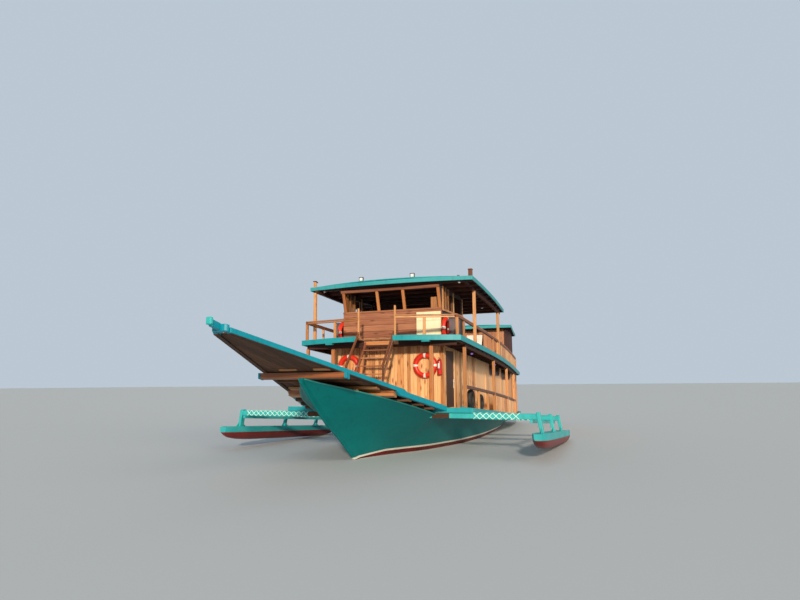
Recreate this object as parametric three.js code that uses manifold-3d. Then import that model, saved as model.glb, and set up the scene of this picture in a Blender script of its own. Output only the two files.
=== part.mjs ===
// A two-deck wooden tour boat with outrigger floats, afloat.
// Millimetres, +X to the bow, +Y to port, +Z up. The origin is on the centreline at the waterline,
// so everything below z = 0 is under water.
import * as THREE from 'three';
import { mergeVertices } from 'three/addons/utils/BufferGeometryUtils.js';
import Module from 'manifold-3d';

const wasm = await Module();
wasm.setup();

// Shared sizes
const GAP = 0.3;            // left between pieces that rest on each other
const HOUSE_X = 3500;       // front corners of the upper deck, where the bow platform starts to climb
const STATION = 1000;       // step of the straight stretches that follow the boat's curves, from HOUSE_X
const STERN_X = -11500;     // aft edge of the decks

// Decks: all of them fall toward the stern at one slope, and level out at the quarter
const DECK_Z = 1310;        // main deck at HOUSE_X
const DECK_SLOPE = 0.07;
const LEVELLING_X = -6000;
const LOWEST_X = -10000;
const PLATFORM_SLOPE = 0.236;
const DECK_PLANK = 45;
const HULL_BELOW_DECK = 200;
const UPPER_RISE = 1990;    // upper deck above main deck
const UPPER_PLANK = 60;
const CEILING_DROP = 150;   // upper deck's top to the underside of its beams
const HALF_BEAM = 2530;     // half width of the upper deck forward
const WIDEST_X = 1200;
const SIDE_CURVE = 7.6e-6;  // how fast the sides curve inboard toward the stern, per mm
const BEAM_SPACING = 1200;
const BEAM_WIDTH = 80;

// Cabin on the main deck
const CABIN_FRONT_X = 2750;
const CABIN_AFT_X = -8000;
const CABIN_HALF = 1800;
const WALL = 45;
const DOOR = { front: 2550, aft: 1760, sill: 1262, head: 2950, leaf: 35, clearance: 6 };
const HINGE = { x: 2558, y: CABIN_HALF - WALL - 12 - GAP, radius: 12 };
const SIDE_WINDOWS = [      // front, aft: long rounded openings along each cabin side
  [-2900, -4700], [-5000, -6800],
];
const WINDOW_ABOVE_DECK = 1480;
const WINDOW_HEIGHT = 460;
const WINDOW_RADIUS = 200;

// Wheelhouse on the upper deck
const WHEELHOUSE = { front: 2470, aft: 150, half: 1660, sill: 4235, rake: 0.3, post: 90,
  header: 70, thick: 75, glass: 60, windowHeight: 520 };
const WINDSCREEN_POSTS = [-1580, -410, 465, 1615];
const SIDE_LOCKER = { front: 2250, aft: 1750, inner: 1820, outer: 2040, high: 760 };

// Roofs: front edge, aft edge, half width, top height at the front edge
const MAIN_ROOF = { front: 2730, aft: -2650, half: 2700, top: 5110, bulge: 220 };
const AFT_ROOF = { front: -7000, aft: -11300, half: 1850, top: 4555, bulge: 60 };
const AFT_CABIN = { front: -7400, aft: -11000, half: 1500 };
const ROOF_PLANK = 50;
const ROOF_DROP = 130;
const ROOF_CAMBER = 60;
const FASCIA_THICK = 35;
const DECK_FASCIA = { above: 25, below: 130 };
const ROOF_FASCIA = { above: 8, below: 112 };
const ROOF_HORN = { x: 2610, y: 2630, wide: 130, top: 5350 };

// Outrigger floats, slightly toed in toward the stern
const floatY = (x) => 4640 + 0.02 * x;
const STRUT = { outer: 30, inner: -35, lean: 90, poleEnd: -50 };
const FLOAT_RAIL = { inner: -290, outer: -220, high: 90 };
const BOOM = { wide: 150, high: 150, frontX: 3600, frontZ: 1100, slope: 0.065 };
const boomHeight = (x) => BOOM.frontZ + BOOM.slope * (x - BOOM.frontX);
const BOOMS = [             // name, x, centre height, strut width along the boat
  ['boom_front', BOOM.frontX, BOOM.frontZ, 190],
  ['boom_middle', 1150, boomHeight(1150), 120],
  ['boom_aft', -950, boomHeight(-950), 120],
];

// Moving gear
const SHAFT_Z = -860;
const PROPELLER = { x: -8900, radius: 270, hub: 60, blades: 3 };
const RUDDER = { x: -9300, top: -480, bottom: -1150, front: -9190, aft: -9760, thick: 50, stock: 30,
  foot: -1225, head: -215 };
const HELM = { x: 1500, y: 0, hubZ: 4080, radius: 300 };

// Colours as seen in daylight
const PAINT = {
  hull: [0x00776c, 0.45], turquoise: [0x3fb5ae, 0.45], beam: [0x1b9ba5, 0.45],
  honey: [0xc98a4e, 0.6], redwood: [0xa06845, 0.6], post: [0xb5713f, 0.6], dark: [0x6b3a22, 0.55],
  deck: [0x7a5a3c, 0.7], ring: [0xe2301b, 0.5], cream: [0xf3e3b5, 0.6], bronze: [0xa0763a, 0.35],
  door: [0x5a4a42, 0.6],
};

// Curves along the boat, straight between stations so that pieces resting on each other agree
function onStations(curve) {
  return (x) => {
    const start = HOUSE_X + Math.floor((x - HOUSE_X) / STATION) * STATION;
    const share = (x - start) / STATION;
    return curve(start) * (1 - share) + curve(start + STATION) * share;
  };
}

const LEVELLING = LEVELLING_X - LOWEST_X;
const fall = onStations((x) => {
  if (x >= LEVELLING_X) return DECK_SLOPE * (x - HOUSE_X);
  const lowest = DECK_SLOPE * (LEVELLING_X - HOUSE_X - LEVELLING / 2);
  return lowest + (DECK_SLOPE / (2 * LEVELLING)) * (x - LOWEST_X) ** 2;
});
const mainTop = onStations((x) => DECK_Z + (x > HOUSE_X ? PLATFORM_SLOPE * (x - HOUSE_X) : fall(x)));
const upperTop = (x) => DECK_Z + UPPER_RISE + fall(x);
const upperCeiling = (x) => upperTop(x) - CEILING_DROP;
const hullTop = (x) => mainTop(x) - HULL_BELOW_DECK;
const halfUpper = onStations((x) => HALF_BEAM - SIDE_CURVE * Math.min(0, x - WIDEST_X) ** 2);
const halfMain = (x) => halfUpper(x) - 40;
const shifted = (curve, by) => (x) => curve(x) + by;
const roofTop = (roof) => (x) => roof.top + fall(x) - fall(roof.front);
const valueAt = (value, x) => (typeof value === 'function' ? value(x) : value);

// Solids
function solidFromArrays(positions, indices) {
  const geometry = new THREE.BufferGeometry();
  geometry.setAttribute('position', new THREE.Float32BufferAttribute(positions, 3));
  geometry.setIndex(indices);
  return solid(geometry);
}

function solid(geometry) {
  const bare = geometry.clone();
  bare.deleteAttribute('normal');
  bare.deleteAttribute('uv');
  const merged = mergeVertices(bare, 1e-3);
  return new wasm.Manifold(new wasm.Mesh({
    numProp: 3,
    vertProperties: new Float32Array(merged.attributes.position.array),
    triVerts: new Uint32Array(merged.index.array),
  }));
}

const join = (...solids) => solids.flat(Infinity).reduce((whole, part) => whole.add(part));
const cut = (whole, ...cutters) => cutters.flat(Infinity).reduce((left, tool) => left.subtract(tool), whole);

// A closed body through sections of equal point counts; flat() gives a section's own plane
function loft(sections, flat = ([, y, z]) => [y, z]) {
  const count = sections[0].length;
  const corners = sections.flat();
  const triangles = [];
  for (let s = 0; s + 1 < sections.length; s++) {
    for (let i = 0; i < count; i++) {
      const a = s * count + i;
      const b = s * count + ((i + 1) % count);
      triangles.push([a, b, b + count], [a, b + count, a + count]);
    }
  }
  const cap = (section, offset, side) => {
    const outline = section.map((point) => new THREE.Vector2(...flat(point)));
    const turn = Math.sign(THREE.ShapeUtils.area(outline));
    for (const [a, b, c] of THREE.ShapeUtils.triangulateShape(outline, [])) {
      const face = Math.sign(THREE.ShapeUtils.area([outline[a], outline[b], outline[c]]));
      triangles.push(face * turn * side > 0 ? [offset + a, offset + b, offset + c]
        : [offset + a, offset + c, offset + b]);
    }
  };
  cap(sections[0], 0, -1);
  cap(sections.at(-1), (sections.length - 1) * count, 1);
  const at = (i) => new THREE.Vector3(...corners[i]);
  const volume = triangles.reduce((sum, [a, b, c]) => sum + at(a).dot(at(b).cross(at(c))), 0);
  const faces = volume > 0 ? triangles : triangles.map(([a, b, c]) => [a, c, b]);
  return solidFromArrays(corners.flat(), faces.flat());
}

function stations(x0, x1) {
  const [low, high] = [Math.min(x0, x1), Math.max(x0, x1)];
  const list = [low];
  const first = HOUSE_X + Math.ceil((low + 1 - HOUSE_X) / STATION) * STATION;
  for (let x = first; x < high - 1; x += STATION) list.push(x);
  return [...list, high];
}

// A bar with a rectangular section that runs along X; its sides may be numbers or curves of x
function run(x0, x1, y0, y1, z0, z1) {
  return loft(stations(x0, x1).map((x) => [
    [x, valueAt(y0, x), valueAt(z0, x)], [x, valueAt(y1, x), valueAt(z0, x)],
    [x, valueAt(y1, x), valueAt(z1, x)], [x, valueAt(y0, x), valueAt(z1, x)],
  ]));
}

// An upright of a given section centred on x and y(x)
const upright = (x, y, wideX, wideY, z0, z1) => run(
  x - wideX / 2, x + wideX / 2, valueAt(y, x) - wideY / 2, valueAt(y, x) + wideY / 2, z0, z1);

// A straight bar between two points: wide is level, high is square to both
function bar(from, to, wide, high) {
  const start = new THREE.Vector3(...from);
  const end = new THREE.Vector3(...to);
  const along = end.clone().sub(start).normalize();
  const level = new THREE.Vector3(0, 0, 1).cross(along).normalize();
  const up = along.clone().cross(level);
  const box = new THREE.BoxGeometry(start.distanceTo(end), wide, high);
  const middle = start.add(end).multiplyScalar(0.5);
  return solid(box.applyMatrix4(new THREE.Matrix4().makeBasis(along, level, up).setPosition(middle)));
}

function block(x0, x1, y0, y1, z0, z1) {
  const box = new THREE.BoxGeometry(x1 - x0, y1 - y0, z1 - z0);
  return solid(box.translate((x0 + x1) / 2, (y0 + y1) / 2, (z0 + z1) / 2));
}

// An outline of [x, z] points given a thickness across the boat
const slice = (outline, y0, y1) => loft(
  [y0, y1].map((y) => outline.map(([x, z]) => [x, y, z])), ([x, , z]) => [x, z]);

function cylinder(radius, length, axis, [x, y, z], sides = 24) {
  const round = new THREE.CylinderGeometry(radius, radius, length, sides);
  if (axis === 'x') round.rotateZ(Math.PI / 2);
  if (axis === 'z') round.rotateX(Math.PI / 2);
  return solid(round.translate(x, y, z));
}

// A rounded rectangle in the XZ plane, cut right through y0 to y1
function roundedCutter(x0, x1, z0, z1, radius, y0, y1) {
  const steps = 4;
  const outline = [];
  const centres = [[x1, z1, 0], [x0, z1, 1], [x0, z0, 2], [x1, z0, 3]];
  for (const [x, z, quarter] of centres) {
    const cx = x + (x === x1 ? -radius : radius);
    const cz = z + (z === z1 ? -radius : radius);
    for (let i = 0; i <= steps; i++) {
      const angle = ((quarter + i / steps) * Math.PI) / 2;
      outline.push([cx + radius * Math.cos(angle), cz + radius * Math.sin(angle)]);
    }
  }
  return slice(outline, y0, y1);
}

// Cross-beams under a deck or roof
function beamRow(x0, x1, half, z0, z1) {
  const row = [];
  for (let x = x0; x >= x1; x -= BEAM_SPACING) {
    row.push(run(x - BEAM_WIDTH / 2, x + BEAM_WIDTH / 2, (t) => -half(t), half, z0, z1));
  }
  return row;
}

// A plate with its front edge swelling forward; margin widens it all round
const SWELL = [0.15, 0.35, 0.55, 0.75, 0.9, 0.97];
function swelledPlate(front, aft, half, bulge, margin, z0, z1, camber = 0) {
  const sides = stations(aft - margin, front).map((x) => [x, valueAt(half, x) + margin, x]);
  const forward = SWELL.map((f) => [front + f * bulge, (valueAt(half, front) + margin) * Math.sqrt(1 - f)]);
  const nose = forward.map(([x, y]) => [x + margin, y]);
  const plan = margin > 0 ? [...sides, [front + margin, valueAt(half, front) + margin], ...nose]
    : [...sides, ...forward];
  return loft(plan.map(([x, y]) => {
    const rise = camber * (1 - (y / valueAt(half, front)) ** 2);
    const crown = camber > 0 ? [[x, 0, z1(x) + camber]] : [];
    const edge = camber > 0 ? z1(x) + Math.max(0, rise) : z1(x);
    return [[x, -y, z0(x)], [x, y, z0(x)], [x, y, edge], ...crown, [x, -y, edge]];
  }));
}

const group = new THREE.Group();
function piece(name, body, [colour, roughness], metalness = 0) {
  const { vertProperties, triVerts } = body.getMesh();
  const geometry = new THREE.BufferGeometry();
  geometry.setAttribute('position', new THREE.BufferAttribute(vertProperties, 3));
  geometry.setIndex(new THREE.BufferAttribute(triVerts, 1));
  geometry.computeVertexNormals();
  const material = new THREE.MeshStandardMaterial({ color: colour, roughness, metalness });
  const mesh = new THREE.Mesh(geometry, material);
  mesh.name = name;
  group.add(mesh);
}

// Hull: x, half width at the deck, keel line height, fullness (low is full, high is a sharp V)
const HULL_SECTIONS = [
  [7780, 60, 2050, 1],
  [7250, 330, 1580, 1.15],
  [6600, 740, 1070, 1.2],
  [5800, 1170, 570, 1.3],
  [5000, 1480, 0, 1.5],
  [4300, 1700, -420, 1.65],
  [3500, 1860, -760, 1.6],
  [2500, 1940, -930, 1.05],
  [1300, 1960, -980, 0.72],
  [0, 1970, -1000, 0.5],
  [-2200, 1950, -1000, 0.42],
  [-4300, 1850, -980, 0.55],
  [-6000, 1700, -900, 0.7],
  [-8000, 1430, -700, 1.1],
  [-9700, 1150, -350, 1.5],
  [-10900, 950, 60, 1],
];
const SECTION_STEPS = [0, 0.05, 0.15, 0.3, 0.5, 0.75, 1];
const KEEL_HALF = 50;
const KEEL_OUTLINE = [
  [4800, 60], [4300, -520], [3500, -900], [2500, -1090], [1300, -1150], [-8500, -1210],
  [-9380, -1255], [-9380, -1170], [-8650, -1140], [-8560, -1000], [-8560, -300], [0, -500],
];
const STERN_TUBE = { x: -8600, length: 260, radius: 95, boreX: -8700, bore: 40 };
const STOCK_CLEARANCE = 5;

function hullSectionAt(x) {
  const aft = HULL_SECTIONS.findIndex((row) => row[0] <= x);
  const [a, b] = [HULL_SECTIONS[Math.max(0, aft - 1)], HULL_SECTIONS[aft]];
  const share = a[0] === b[0] ? 0 : (a[0] - x) / (a[0] - b[0]);
  const [, half, keel, fullness] = a.map((value, i) => value * (1 - share) + b[i] * share);
  const side = SECTION_STEPS.map((t) => [
    Math.max(KEEL_HALF, half * t ** fullness), keel + (hullTop(x) - GAP - keel) * t]);
  return [...side.map(([y, z]) => [x, y, z]), ...side.reverse().map(([y, z]) => [x, -y, z])];
}

function buildHull() {
  const ends = [HULL_SECTIONS.at(-1)[0], HULL_SECTIONS[0][0]];
  const xs = [...new Set([...stations(...ends), ...HULL_SECTIONS.map((row) => row[0])])];
  const shell = loft(xs.sort((a, b) => a - b).map(hullSectionAt));
  const keel = slice(KEEL_OUTLINE, -KEEL_HALF, KEEL_HALF);
  const sternTube = cylinder(STERN_TUBE.radius, STERN_TUBE.length, 'x', [STERN_TUBE.x, 0, SHAFT_Z]);
  const shaftBore = cylinder(STERN_TUBE.bore, 200, 'x', [STERN_TUBE.boreX, 0, SHAFT_Z]);
  const stockHole = RUDDER.stock + STOCK_CLEARANCE;
  const heelBore = cylinder(stockHole, 200, 'z', [RUDDER.x, 0, RUDDER.foot - GAP + 100]);
  const stockBore = cylinder(stockHole, 500, 'z', [RUDDER.x, 0, -400]);
  const heel = cylinder(75, 85, 'z', [RUDDER.x, 0, -1212.5]);
  const notches = BOOMS.map(([, x, z]) => block(
    x - BOOM.wide / 2 - GAP, x + BOOM.wide / 2 + GAP, -3000, 3000, z - BOOM.high / 2 - GAP, 1500));
  return cut(join(shell, keel, sternTube, heel), shaftBore, heelBore, stockBore, notches);
}
piece('hull', buildHull(), PAINT.hull);

function buildPropeller() {
  const { x, radius, hub, blades } = PROPELLER;
  const profile = [[0, -110], [35, -100], [hub, -60], [hub, 60], [45, 75], [0, 75]];
  const boss = new THREE.LatheGeometry(profile.map(([r, h]) => new THREE.Vector2(r, h)), 24);
  const parts = [
    solid(boss.rotateZ(-Math.PI / 2).translate(x, 0, SHAFT_Z)),
    cylinder(34, 250 - GAP, 'x', [x + 175 - GAP / 2, 0, SHAFT_Z]),
  ];
  for (let i = 0; i < blades; i++) {
    const turn = (i * 2 * Math.PI) / blades;
    const sections = [[40, 60, 1.0], [110, 95, 0.8], [190, 105, 0.6], [250, 75, 0.45], [radius, 30, 0.4]]
      .map(([r, chord, pitch]) => [[-chord, -6], [0, -9], [chord, -6], [chord, 6], [0, 9], [-chord, 6]]
        .map(([along, across]) => {
          const lengthwise = along * Math.sin(pitch) + across * Math.cos(pitch);
          const sideways = along * Math.cos(pitch) - across * Math.sin(pitch);
          const [cos, sin] = [Math.cos(turn), Math.sin(turn)];
          return [x + lengthwise, r * cos - sideways * sin, SHAFT_Z + r * sin + sideways * cos];
        }));
    const [cos, sin] = [Math.cos(turn), Math.sin(turn)];
    parts.push(loft(sections, ([px, py, pz]) => [px, -py * sin + (pz - SHAFT_Z) * cos]));
  }
  return join(parts);
}
piece('propeller', buildPropeller(), PAINT.bronze, 0.8);

function buildRudder() {
  const blade = slice([
    [RUDDER.front, RUDDER.bottom + 30], [RUDDER.front, RUDDER.top], [RUDDER.aft + 120, RUDDER.top + 20],
    [RUDDER.aft, RUDDER.top - 120], [RUDDER.aft + 30, RUDDER.bottom + 60], [RUDDER.aft + 150, RUDDER.bottom],
    [RUDDER.front + 60, RUDDER.bottom],
  ], -RUDDER.thick / 2, RUDDER.thick / 2);
  return join(blade, cylinder(RUDDER.stock, RUDDER.head - RUDDER.foot, 'z',
    [RUDDER.x, 0, (RUDDER.head + RUDDER.foot) / 2]));
}
piece('rudder', buildRudder(), PAINT.hull);

// Main deck: planks with cross-beams below, which rest on the hull's top edge
function buildMainDeck() {
  const planks = run(STERN_X, HOUSE_X, (x) => -halfMain(x), halfMain, shifted(mainTop, -DECK_PLANK), mainTop);
  const beams = beamRow(HOUSE_X - 300, STERN_X + 200, shifted(halfMain, -60),
    shifted(mainTop, -HULL_BELOW_DECK), shifted(mainTop, -DECK_PLANK + 5));
  const booms = BOOMS.map(([, x, z]) => block(
    x - BOOM.wide / 2 - 2, x + BOOM.wide / 2 + 2, -3000, 3000, z - BOOM.high, z + BOOM.high / 2 + 2));
  return cut(join(planks, beams), booms);
}
piece('main_deck', buildMainDeck(), PAINT.deck);

const GUARD_DEEP = 110;
function buildDeckGuard() {
  const rise = [shifted(mainTop, -GUARD_DEEP), shifted(mainTop, 25)];
  const side = (s) => run(STERN_X - 60, HOUSE_X, (x) => s * (halfMain(x) + GAP),
    (x) => s * (halfMain(x) + 60), ...rise);
  const width = halfMain(STERN_X) + 55;
  const stern = run(STERN_X - 60, STERN_X - GAP, -width, width, ...rise);
  return join(side(1), side(-1), stern);
}
piece('deck_guard', buildDeckGuard(), PAINT.turquoise);

// Bow platform: two long side beams that meet at the turned-up head, planks and bearers between them
const TIP_X = 10600;
const SIDE_BEAM = { wide: 110, tipHalf: 206, flare: 0.288 };
const BEAM_LENGTHS = [      // aft end, front end, underside and top about the deck: two lengths, scarfed
  [3730, 5850, -145, -5],
  [5430, TIP_X, -70, 45],
];
const beamOuter = (x) => SIDE_BEAM.tipHalf + SIDE_BEAM.flare * (TIP_X - x);
const beamInner = (x) => beamOuter(x) - SIDE_BEAM.wide;
const PLATFORM_AFT = BEAM_LENGTHS[0][0];
const BEARER = { x: 7700, wide: 140, half: 1100 };

for (const [name, s] of [['platform_beam_port', 1], ['platform_beam_starboard', -1]]) {
  const lengths = BEAM_LENGTHS.map(([aft, front, low, high]) => run(aft, front, (x) => s * beamInner(x),
    (x) => s * beamOuter(x), shifted(mainTop, low), shifted(mainTop, high)));
  piece(name, join(lengths), PAINT.beam);
}

function buildPlatform() {
  const inside = (x) => Math.max(8, beamInner(x) - GAP);
  const planks = run(HOUSE_X + GAP, TIP_X - 120, (x) => -inside(x), inside, shifted(mainTop, -DECK_PLANK),
    mainTop);
  const bearers = [];
  for (let x = 4200; x < TIP_X - 500; x += BEAM_SPACING) {
    if (Math.abs(x - BEARER.x) < 200) continue;
    const lower = x < BEARER.x ? HULL_BELOW_DECK - 1 : 140;
    bearers.push(run(x - 45, x + 45, (t) => 30 - inside(t), (t) => inside(t) - 30,
      shifted(mainTop, -lower), shifted(mainTop, -DECK_PLANK + 5)));
  }
  return join(planks, bearers);
}
piece('bow_platform', buildPlatform(), PAINT.redwood);

piece('bow_bearer', run(BEARER.x - BEARER.wide / 2, BEARER.x + BEARER.wide / 2, -BEARER.half, BEARER.half,
  shifted(mainTop, -HULL_BELOW_DECK + GAP), shifted(mainTop, BEAM_LENGTHS[1][2] - GAP)), PAINT.post);

// Bow head: a block that closes the beams, a short spar and its squared end
const BOW_HEAD = { blockEnd: TIP_X + 95, sparEnd: 10925, end: 10990, blockHalf: 185, sparHalf: 45,
  endHalf: 62 };
function buildBowHead() {
  const { blockEnd, sparEnd, end, blockHalf, sparHalf, endHalf } = BOW_HEAD;
  const across = (x0, x1, half, low, high) => run(x0, x1, -half, half, shifted(mainTop, low),
    shifted(mainTop, high));
  return join(across(TIP_X + GAP, blockEnd, blockHalf, -100, 85),
    across(blockEnd - 20, sparEnd, sparHalf, -20, 100),
    block(sparEnd - 20, end, -endHalf, endHalf, mainTop(end) - 25, mainTop(end) + 120));
}
piece('bow_head', buildBowHead(), PAINT.turquoise);

// Front sill: a beam across the boat over the front boom, its ends past the deck
const SILL = { aft: 3570, half: 2900 };
piece('front_sill', run(SILL.aft, PLATFORM_AFT - GAP, -SILL.half, SILL.half,
  BOOM.frontZ + BOOM.high / 2 + GAP, shifted(mainTop, -DECK_PLANK - GAP)), PAINT.turquoise);

// Outriggers
function buildBoom([, x, z, wide]) {
  const reach = floatY(x) + STRUT.poleEnd;
  const pole = block(x - BOOM.wide / 2, x + BOOM.wide / 2, -reach, reach,
    z - BOOM.high / 2, z + BOOM.high / 2);
  const foot = shifted(floatTop, GAP);
  const strut = (s) => loft([-1, 1].map((end) => {
    const sx = x + (end * wide) / 2;
    const low = foot(sx);
    const high = z + BOOM.high / 2 + 35;
    const [outer, inner] = [floatY(sx) + STRUT.outer, floatY(sx) + STRUT.inner];
    return [[sx, s * outer, low], [sx, s * inner, low],
      [sx, s * (inner - STRUT.lean), high], [sx, s * (outer - STRUT.lean), high]];
  }));
  return join(pole, strut(1), strut(-1));
}

// Floats: x, half width, top, bottom
const FLOAT_SECTIONS = [
  [-2500, 70, 310, 200],
  [-2200, 160, 327, 80],
  [-1300, 235, 380, 20],
  [500, 250, 485, 95],
  [2500, 245, 601, 205],
  [3700, 225, 671, 295],
  [4250, 175, 703, 405],
  [4450, 110, 715, 530],
];
function floatTop(x) {
  const next = Math.max(1, FLOAT_SECTIONS.findIndex((row) => row[0] >= x));
  const [a, b] = [FLOAT_SECTIONS[next - 1], FLOAT_SECTIONS[next]];
  return a[2] + ((b[2] - a[2]) * (x - a[0])) / (b[0] - a[0]);
}
for (const boom of BOOMS) piece(boom[0], buildBoom(boom), PAINT.turquoise);
for (const [name, s] of [['float_port', 1], ['float_starboard', -1]]) {
  const body = loft(FLOAT_SECTIONS.map(([x, half, top, bottom]) => {
    const deep = top - bottom;
    return [[half, 0], [half, 0.45], [half * 0.82, 0.78], [half * 0.4, 1],
      [-half * 0.4, 1], [-half * 0.82, 0.78], [-half, 0.45], [-half, 0]]
      .map(([y, t]) => [x, s * (floatY(x) + y), top - t * deep]);
  }));
  piece(name, body, PAINT.turquoise);
  const railTop = (x) => boomHeight(x) - (BOOM.high + BOOM.slope * BOOM.wide) / 2 - GAP;
  const rail = run(-1200, 3780, (x) => s * (floatY(x) + FLOAT_RAIL.inner),
    (x) => s * (floatY(x) + FLOAT_RAIL.outer), shifted(railTop, -FLOAT_RAIL.high), railTop);
  piece(name.replace('float', 'float_rail'), rail, PAINT.turquoise);
}

// Cabin on the main deck
const deckSeat = shifted(mainTop, GAP);
const ceilingSeat = (x) => upperCeiling(x) - GAP;
piece('cabin_front_wall', run(CABIN_FRONT_X - WALL, CABIN_FRONT_X, -CABIN_HALF, CABIN_HALF,
  deckSeat, ceilingSeat), PAINT.honey);
const aftWall = run(CABIN_AFT_X, CABIN_AFT_X + WALL, -CABIN_HALF + WALL + GAP, CABIN_HALF - WALL - GAP,
  deckSeat, ceilingSeat);
piece('cabin_aft_wall', cut(aftWall, block(CABIN_AFT_X - 100, CABIN_AFT_X + 100, -400, 400,
  mainTop(CABIN_AFT_X) + 60, mainTop(CABIN_AFT_X) + 1700)), PAINT.honey);

for (const [side, s] of [['port', 1], ['starboard', -1]]) {
  const [inner, outer] = [s * (CABIN_HALF - WALL), s * CABIN_HALF];
  const wall = run(CABIN_AFT_X, CABIN_FRONT_X - WALL - GAP, inner, outer, deckSeat, ceilingSeat);
  const doorway = block(DOOR.aft - DOOR.clearance, DOOR.front + DOOR.clearance, s * CABIN_HALF - 100,
    s * CABIN_HALF + 100, DOOR.sill, DOOR.head);
  const windows = SIDE_WINDOWS.map(([front, aft]) => {
    const low = mainTop((front + aft) / 2) + WINDOW_ABOVE_DECK;
    return roundedCutter(aft, front, low, low + WINDOW_HEIGHT, WINDOW_RADIUS,
      s * CABIN_HALF - 100, s * CABIN_HALF + 100);
  });
  piece(`cabin_${side}_wall`, cut(wall, doorway, windows), PAINT.honey);
  const leafInner = s * (CABIN_HALF - WALL + 5);
  const leaf = block(DOOR.aft, DOOR.front, Math.min(leafInner, leafInner + s * DOOR.leaf),
    Math.max(leafInner, leafInner + s * DOOR.leaf), DOOR.sill + DOOR.clearance, DOOR.head - DOOR.clearance);
  const hinges = [DOOR.sill + 250, DOOR.head - 250].flatMap((z) => [
    cylinder(HINGE.radius, 90, 'z', [HINGE.x, s * HINGE.y, z], 12),
    block(HINGE.x - 60, HINGE.x - 9, Math.min(s * (HINGE.y - 6), s * (HINGE.y + 20)),
      Math.max(s * (HINGE.y - 6), s * (HINGE.y + 20)), z - 40, z + 40),
  ]);
  piece(`cabin_door_${side}`, join(leaf, hinges), PAINT.door);
}

// Posts and rails. Each row: x of a post that reaches the deck above
const POST = 90;
const LOWER_POSTS = {
  port: [2750, -1080, -4000, -6600, -7200],
  starboard: [3350, -1080, -4000, -6600, -7200],
};
const LOWER_SMALL_POSTS = [1240, 0];
const LOWER_BOARDS = { first: -1250, last: -7150, step: 210, wide: 170 };
const BOARD_THICK = 25;
const LOWER_RAIL = { aft: -7250, height: 670, wide: 80, high: 90 };
const lowerLine = shifted(halfUpper, -95);
for (const [side, s] of [['port', 1], ['starboard', -1]]) {
  const line = (x) => s * lowerLine(x);
  const front = LOWER_POSTS[side][0];
  const top = shifted(mainTop, LOWER_RAIL.height);
  const parts = LOWER_POSTS[side].map((x) => upright(x, line, POST, POST, deckSeat, ceilingSeat));
  const [inner, outer] = [shifted(line, -LOWER_RAIL.wide / 2), shifted(line, LOWER_RAIL.wide / 2)];
  parts.push(run(LOWER_RAIL.aft, front, inner, outer, shifted(top, -LOWER_RAIL.high), top));
  for (const x of LOWER_SMALL_POSTS) parts.push(upright(x, line, 80, 70, deckSeat, shifted(top, -20)));
  for (let x = LOWER_BOARDS.first; x > LOWER_BOARDS.last; x -= LOWER_BOARDS.step) {
    parts.push(upright(x, line, LOWER_BOARDS.wide, BOARD_THICK, deckSeat, shifted(top, -20)));
  }
  parts.push(run(LOWER_RAIL.aft, front, inner, outer, shifted(upperCeiling, -80), ceilingSeat));
  piece(`lower_side_${side}`, join(parts), PAINT.post);
}

const FRONT_POSTS = { x: 3350, y: [-1550, 1620], headerHalf: 2380 };
const HEADER = 90;
function buildFrontPosts() {
  const { x, y, headerHalf } = FRONT_POSTS;
  const header = run(x - 40, x + 40, -headerHalf, headerHalf, shifted(upperCeiling, -HEADER), ceilingSeat);
  const posts = y.map((place) => upright(x, place, 80, 110, deckSeat, ceilingSeat));
  return join(header, posts);
}
piece('front_posts', buildFrontPosts(), PAINT.post);

const STERN_FRAME = { x: -11300, half: 1150, boards: [-840, -600, -360, -120, 120, 360, 600, 840] };
function buildSternFrame() {
  const { x, half } = STERN_FRAME;
  const top = shifted(mainTop, LOWER_RAIL.height);
  const posts = [-half, half].map((y) => upright(x, y, POST, POST, deckSeat, ceilingSeat));
  const header = run(x - 45, x + 45, -half, half, shifted(upperCeiling, -HEADER), ceilingSeat);
  const rail = run(x - 40, x + 40, -half, half, shifted(top, -LOWER_RAIL.high), top);
  const boards = STERN_FRAME.boards.map((y) => upright(x, y, BOARD_THICK, 180, deckSeat, shifted(top, -70)));
  return join(posts, header, rail, boards);
}
piece('stern_frame', buildSternFrame(), PAINT.post);

// Upper deck with the ladder's notch in its front edge
const DECK_BULGE = 420;
const NOTCH = { y0: -512, y1: 652, x: 3400, low: 2900, high: 3500 };
const notchCutter = block(NOTCH.x, HOUSE_X + 2 * DECK_BULGE, NOTCH.y0, NOTCH.y1, NOTCH.low, NOTCH.high);

function buildUpperDeck() {
  const planks = swelledPlate(HOUSE_X, STERN_X, halfUpper, DECK_BULGE, 0, shifted(upperTop, -UPPER_PLANK),
    upperTop);
  const under = [shifted(upperTop, -CEILING_DROP), shifted(upperTop, -UPPER_PLANK + 5)];
  const beams = beamRow(HOUSE_X - 300, STERN_X + 200, shifted(halfUpper, -30), ...under);
  const rows = [-1, 1].flatMap((s) => [
    run(CABIN_AFT_X, CABIN_FRONT_X, s * (CABIN_HALF - 60), s * (CABIN_HALF + 5), ...under),
    run(STERN_X + 100, HOUSE_X - 30, (x) => s * (lowerLine(x) - 45), (x) => s * (lowerLine(x) + 45),
      ...under),
  ]);
  const ends = [CABIN_FRONT_X - 30, CABIN_AFT_X + 22, STERN_FRAME.x, FRONT_POSTS.x].map((x) => run(
    x - 45, x + 45, (t) => 40 - lowerLine(t), (t) => lowerLine(t) - 40, ...under));
  return cut(join(planks, beams, rows, ends), notchCutter);
}
piece('upper_deck', buildUpperDeck(), PAINT.redwood);

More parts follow.
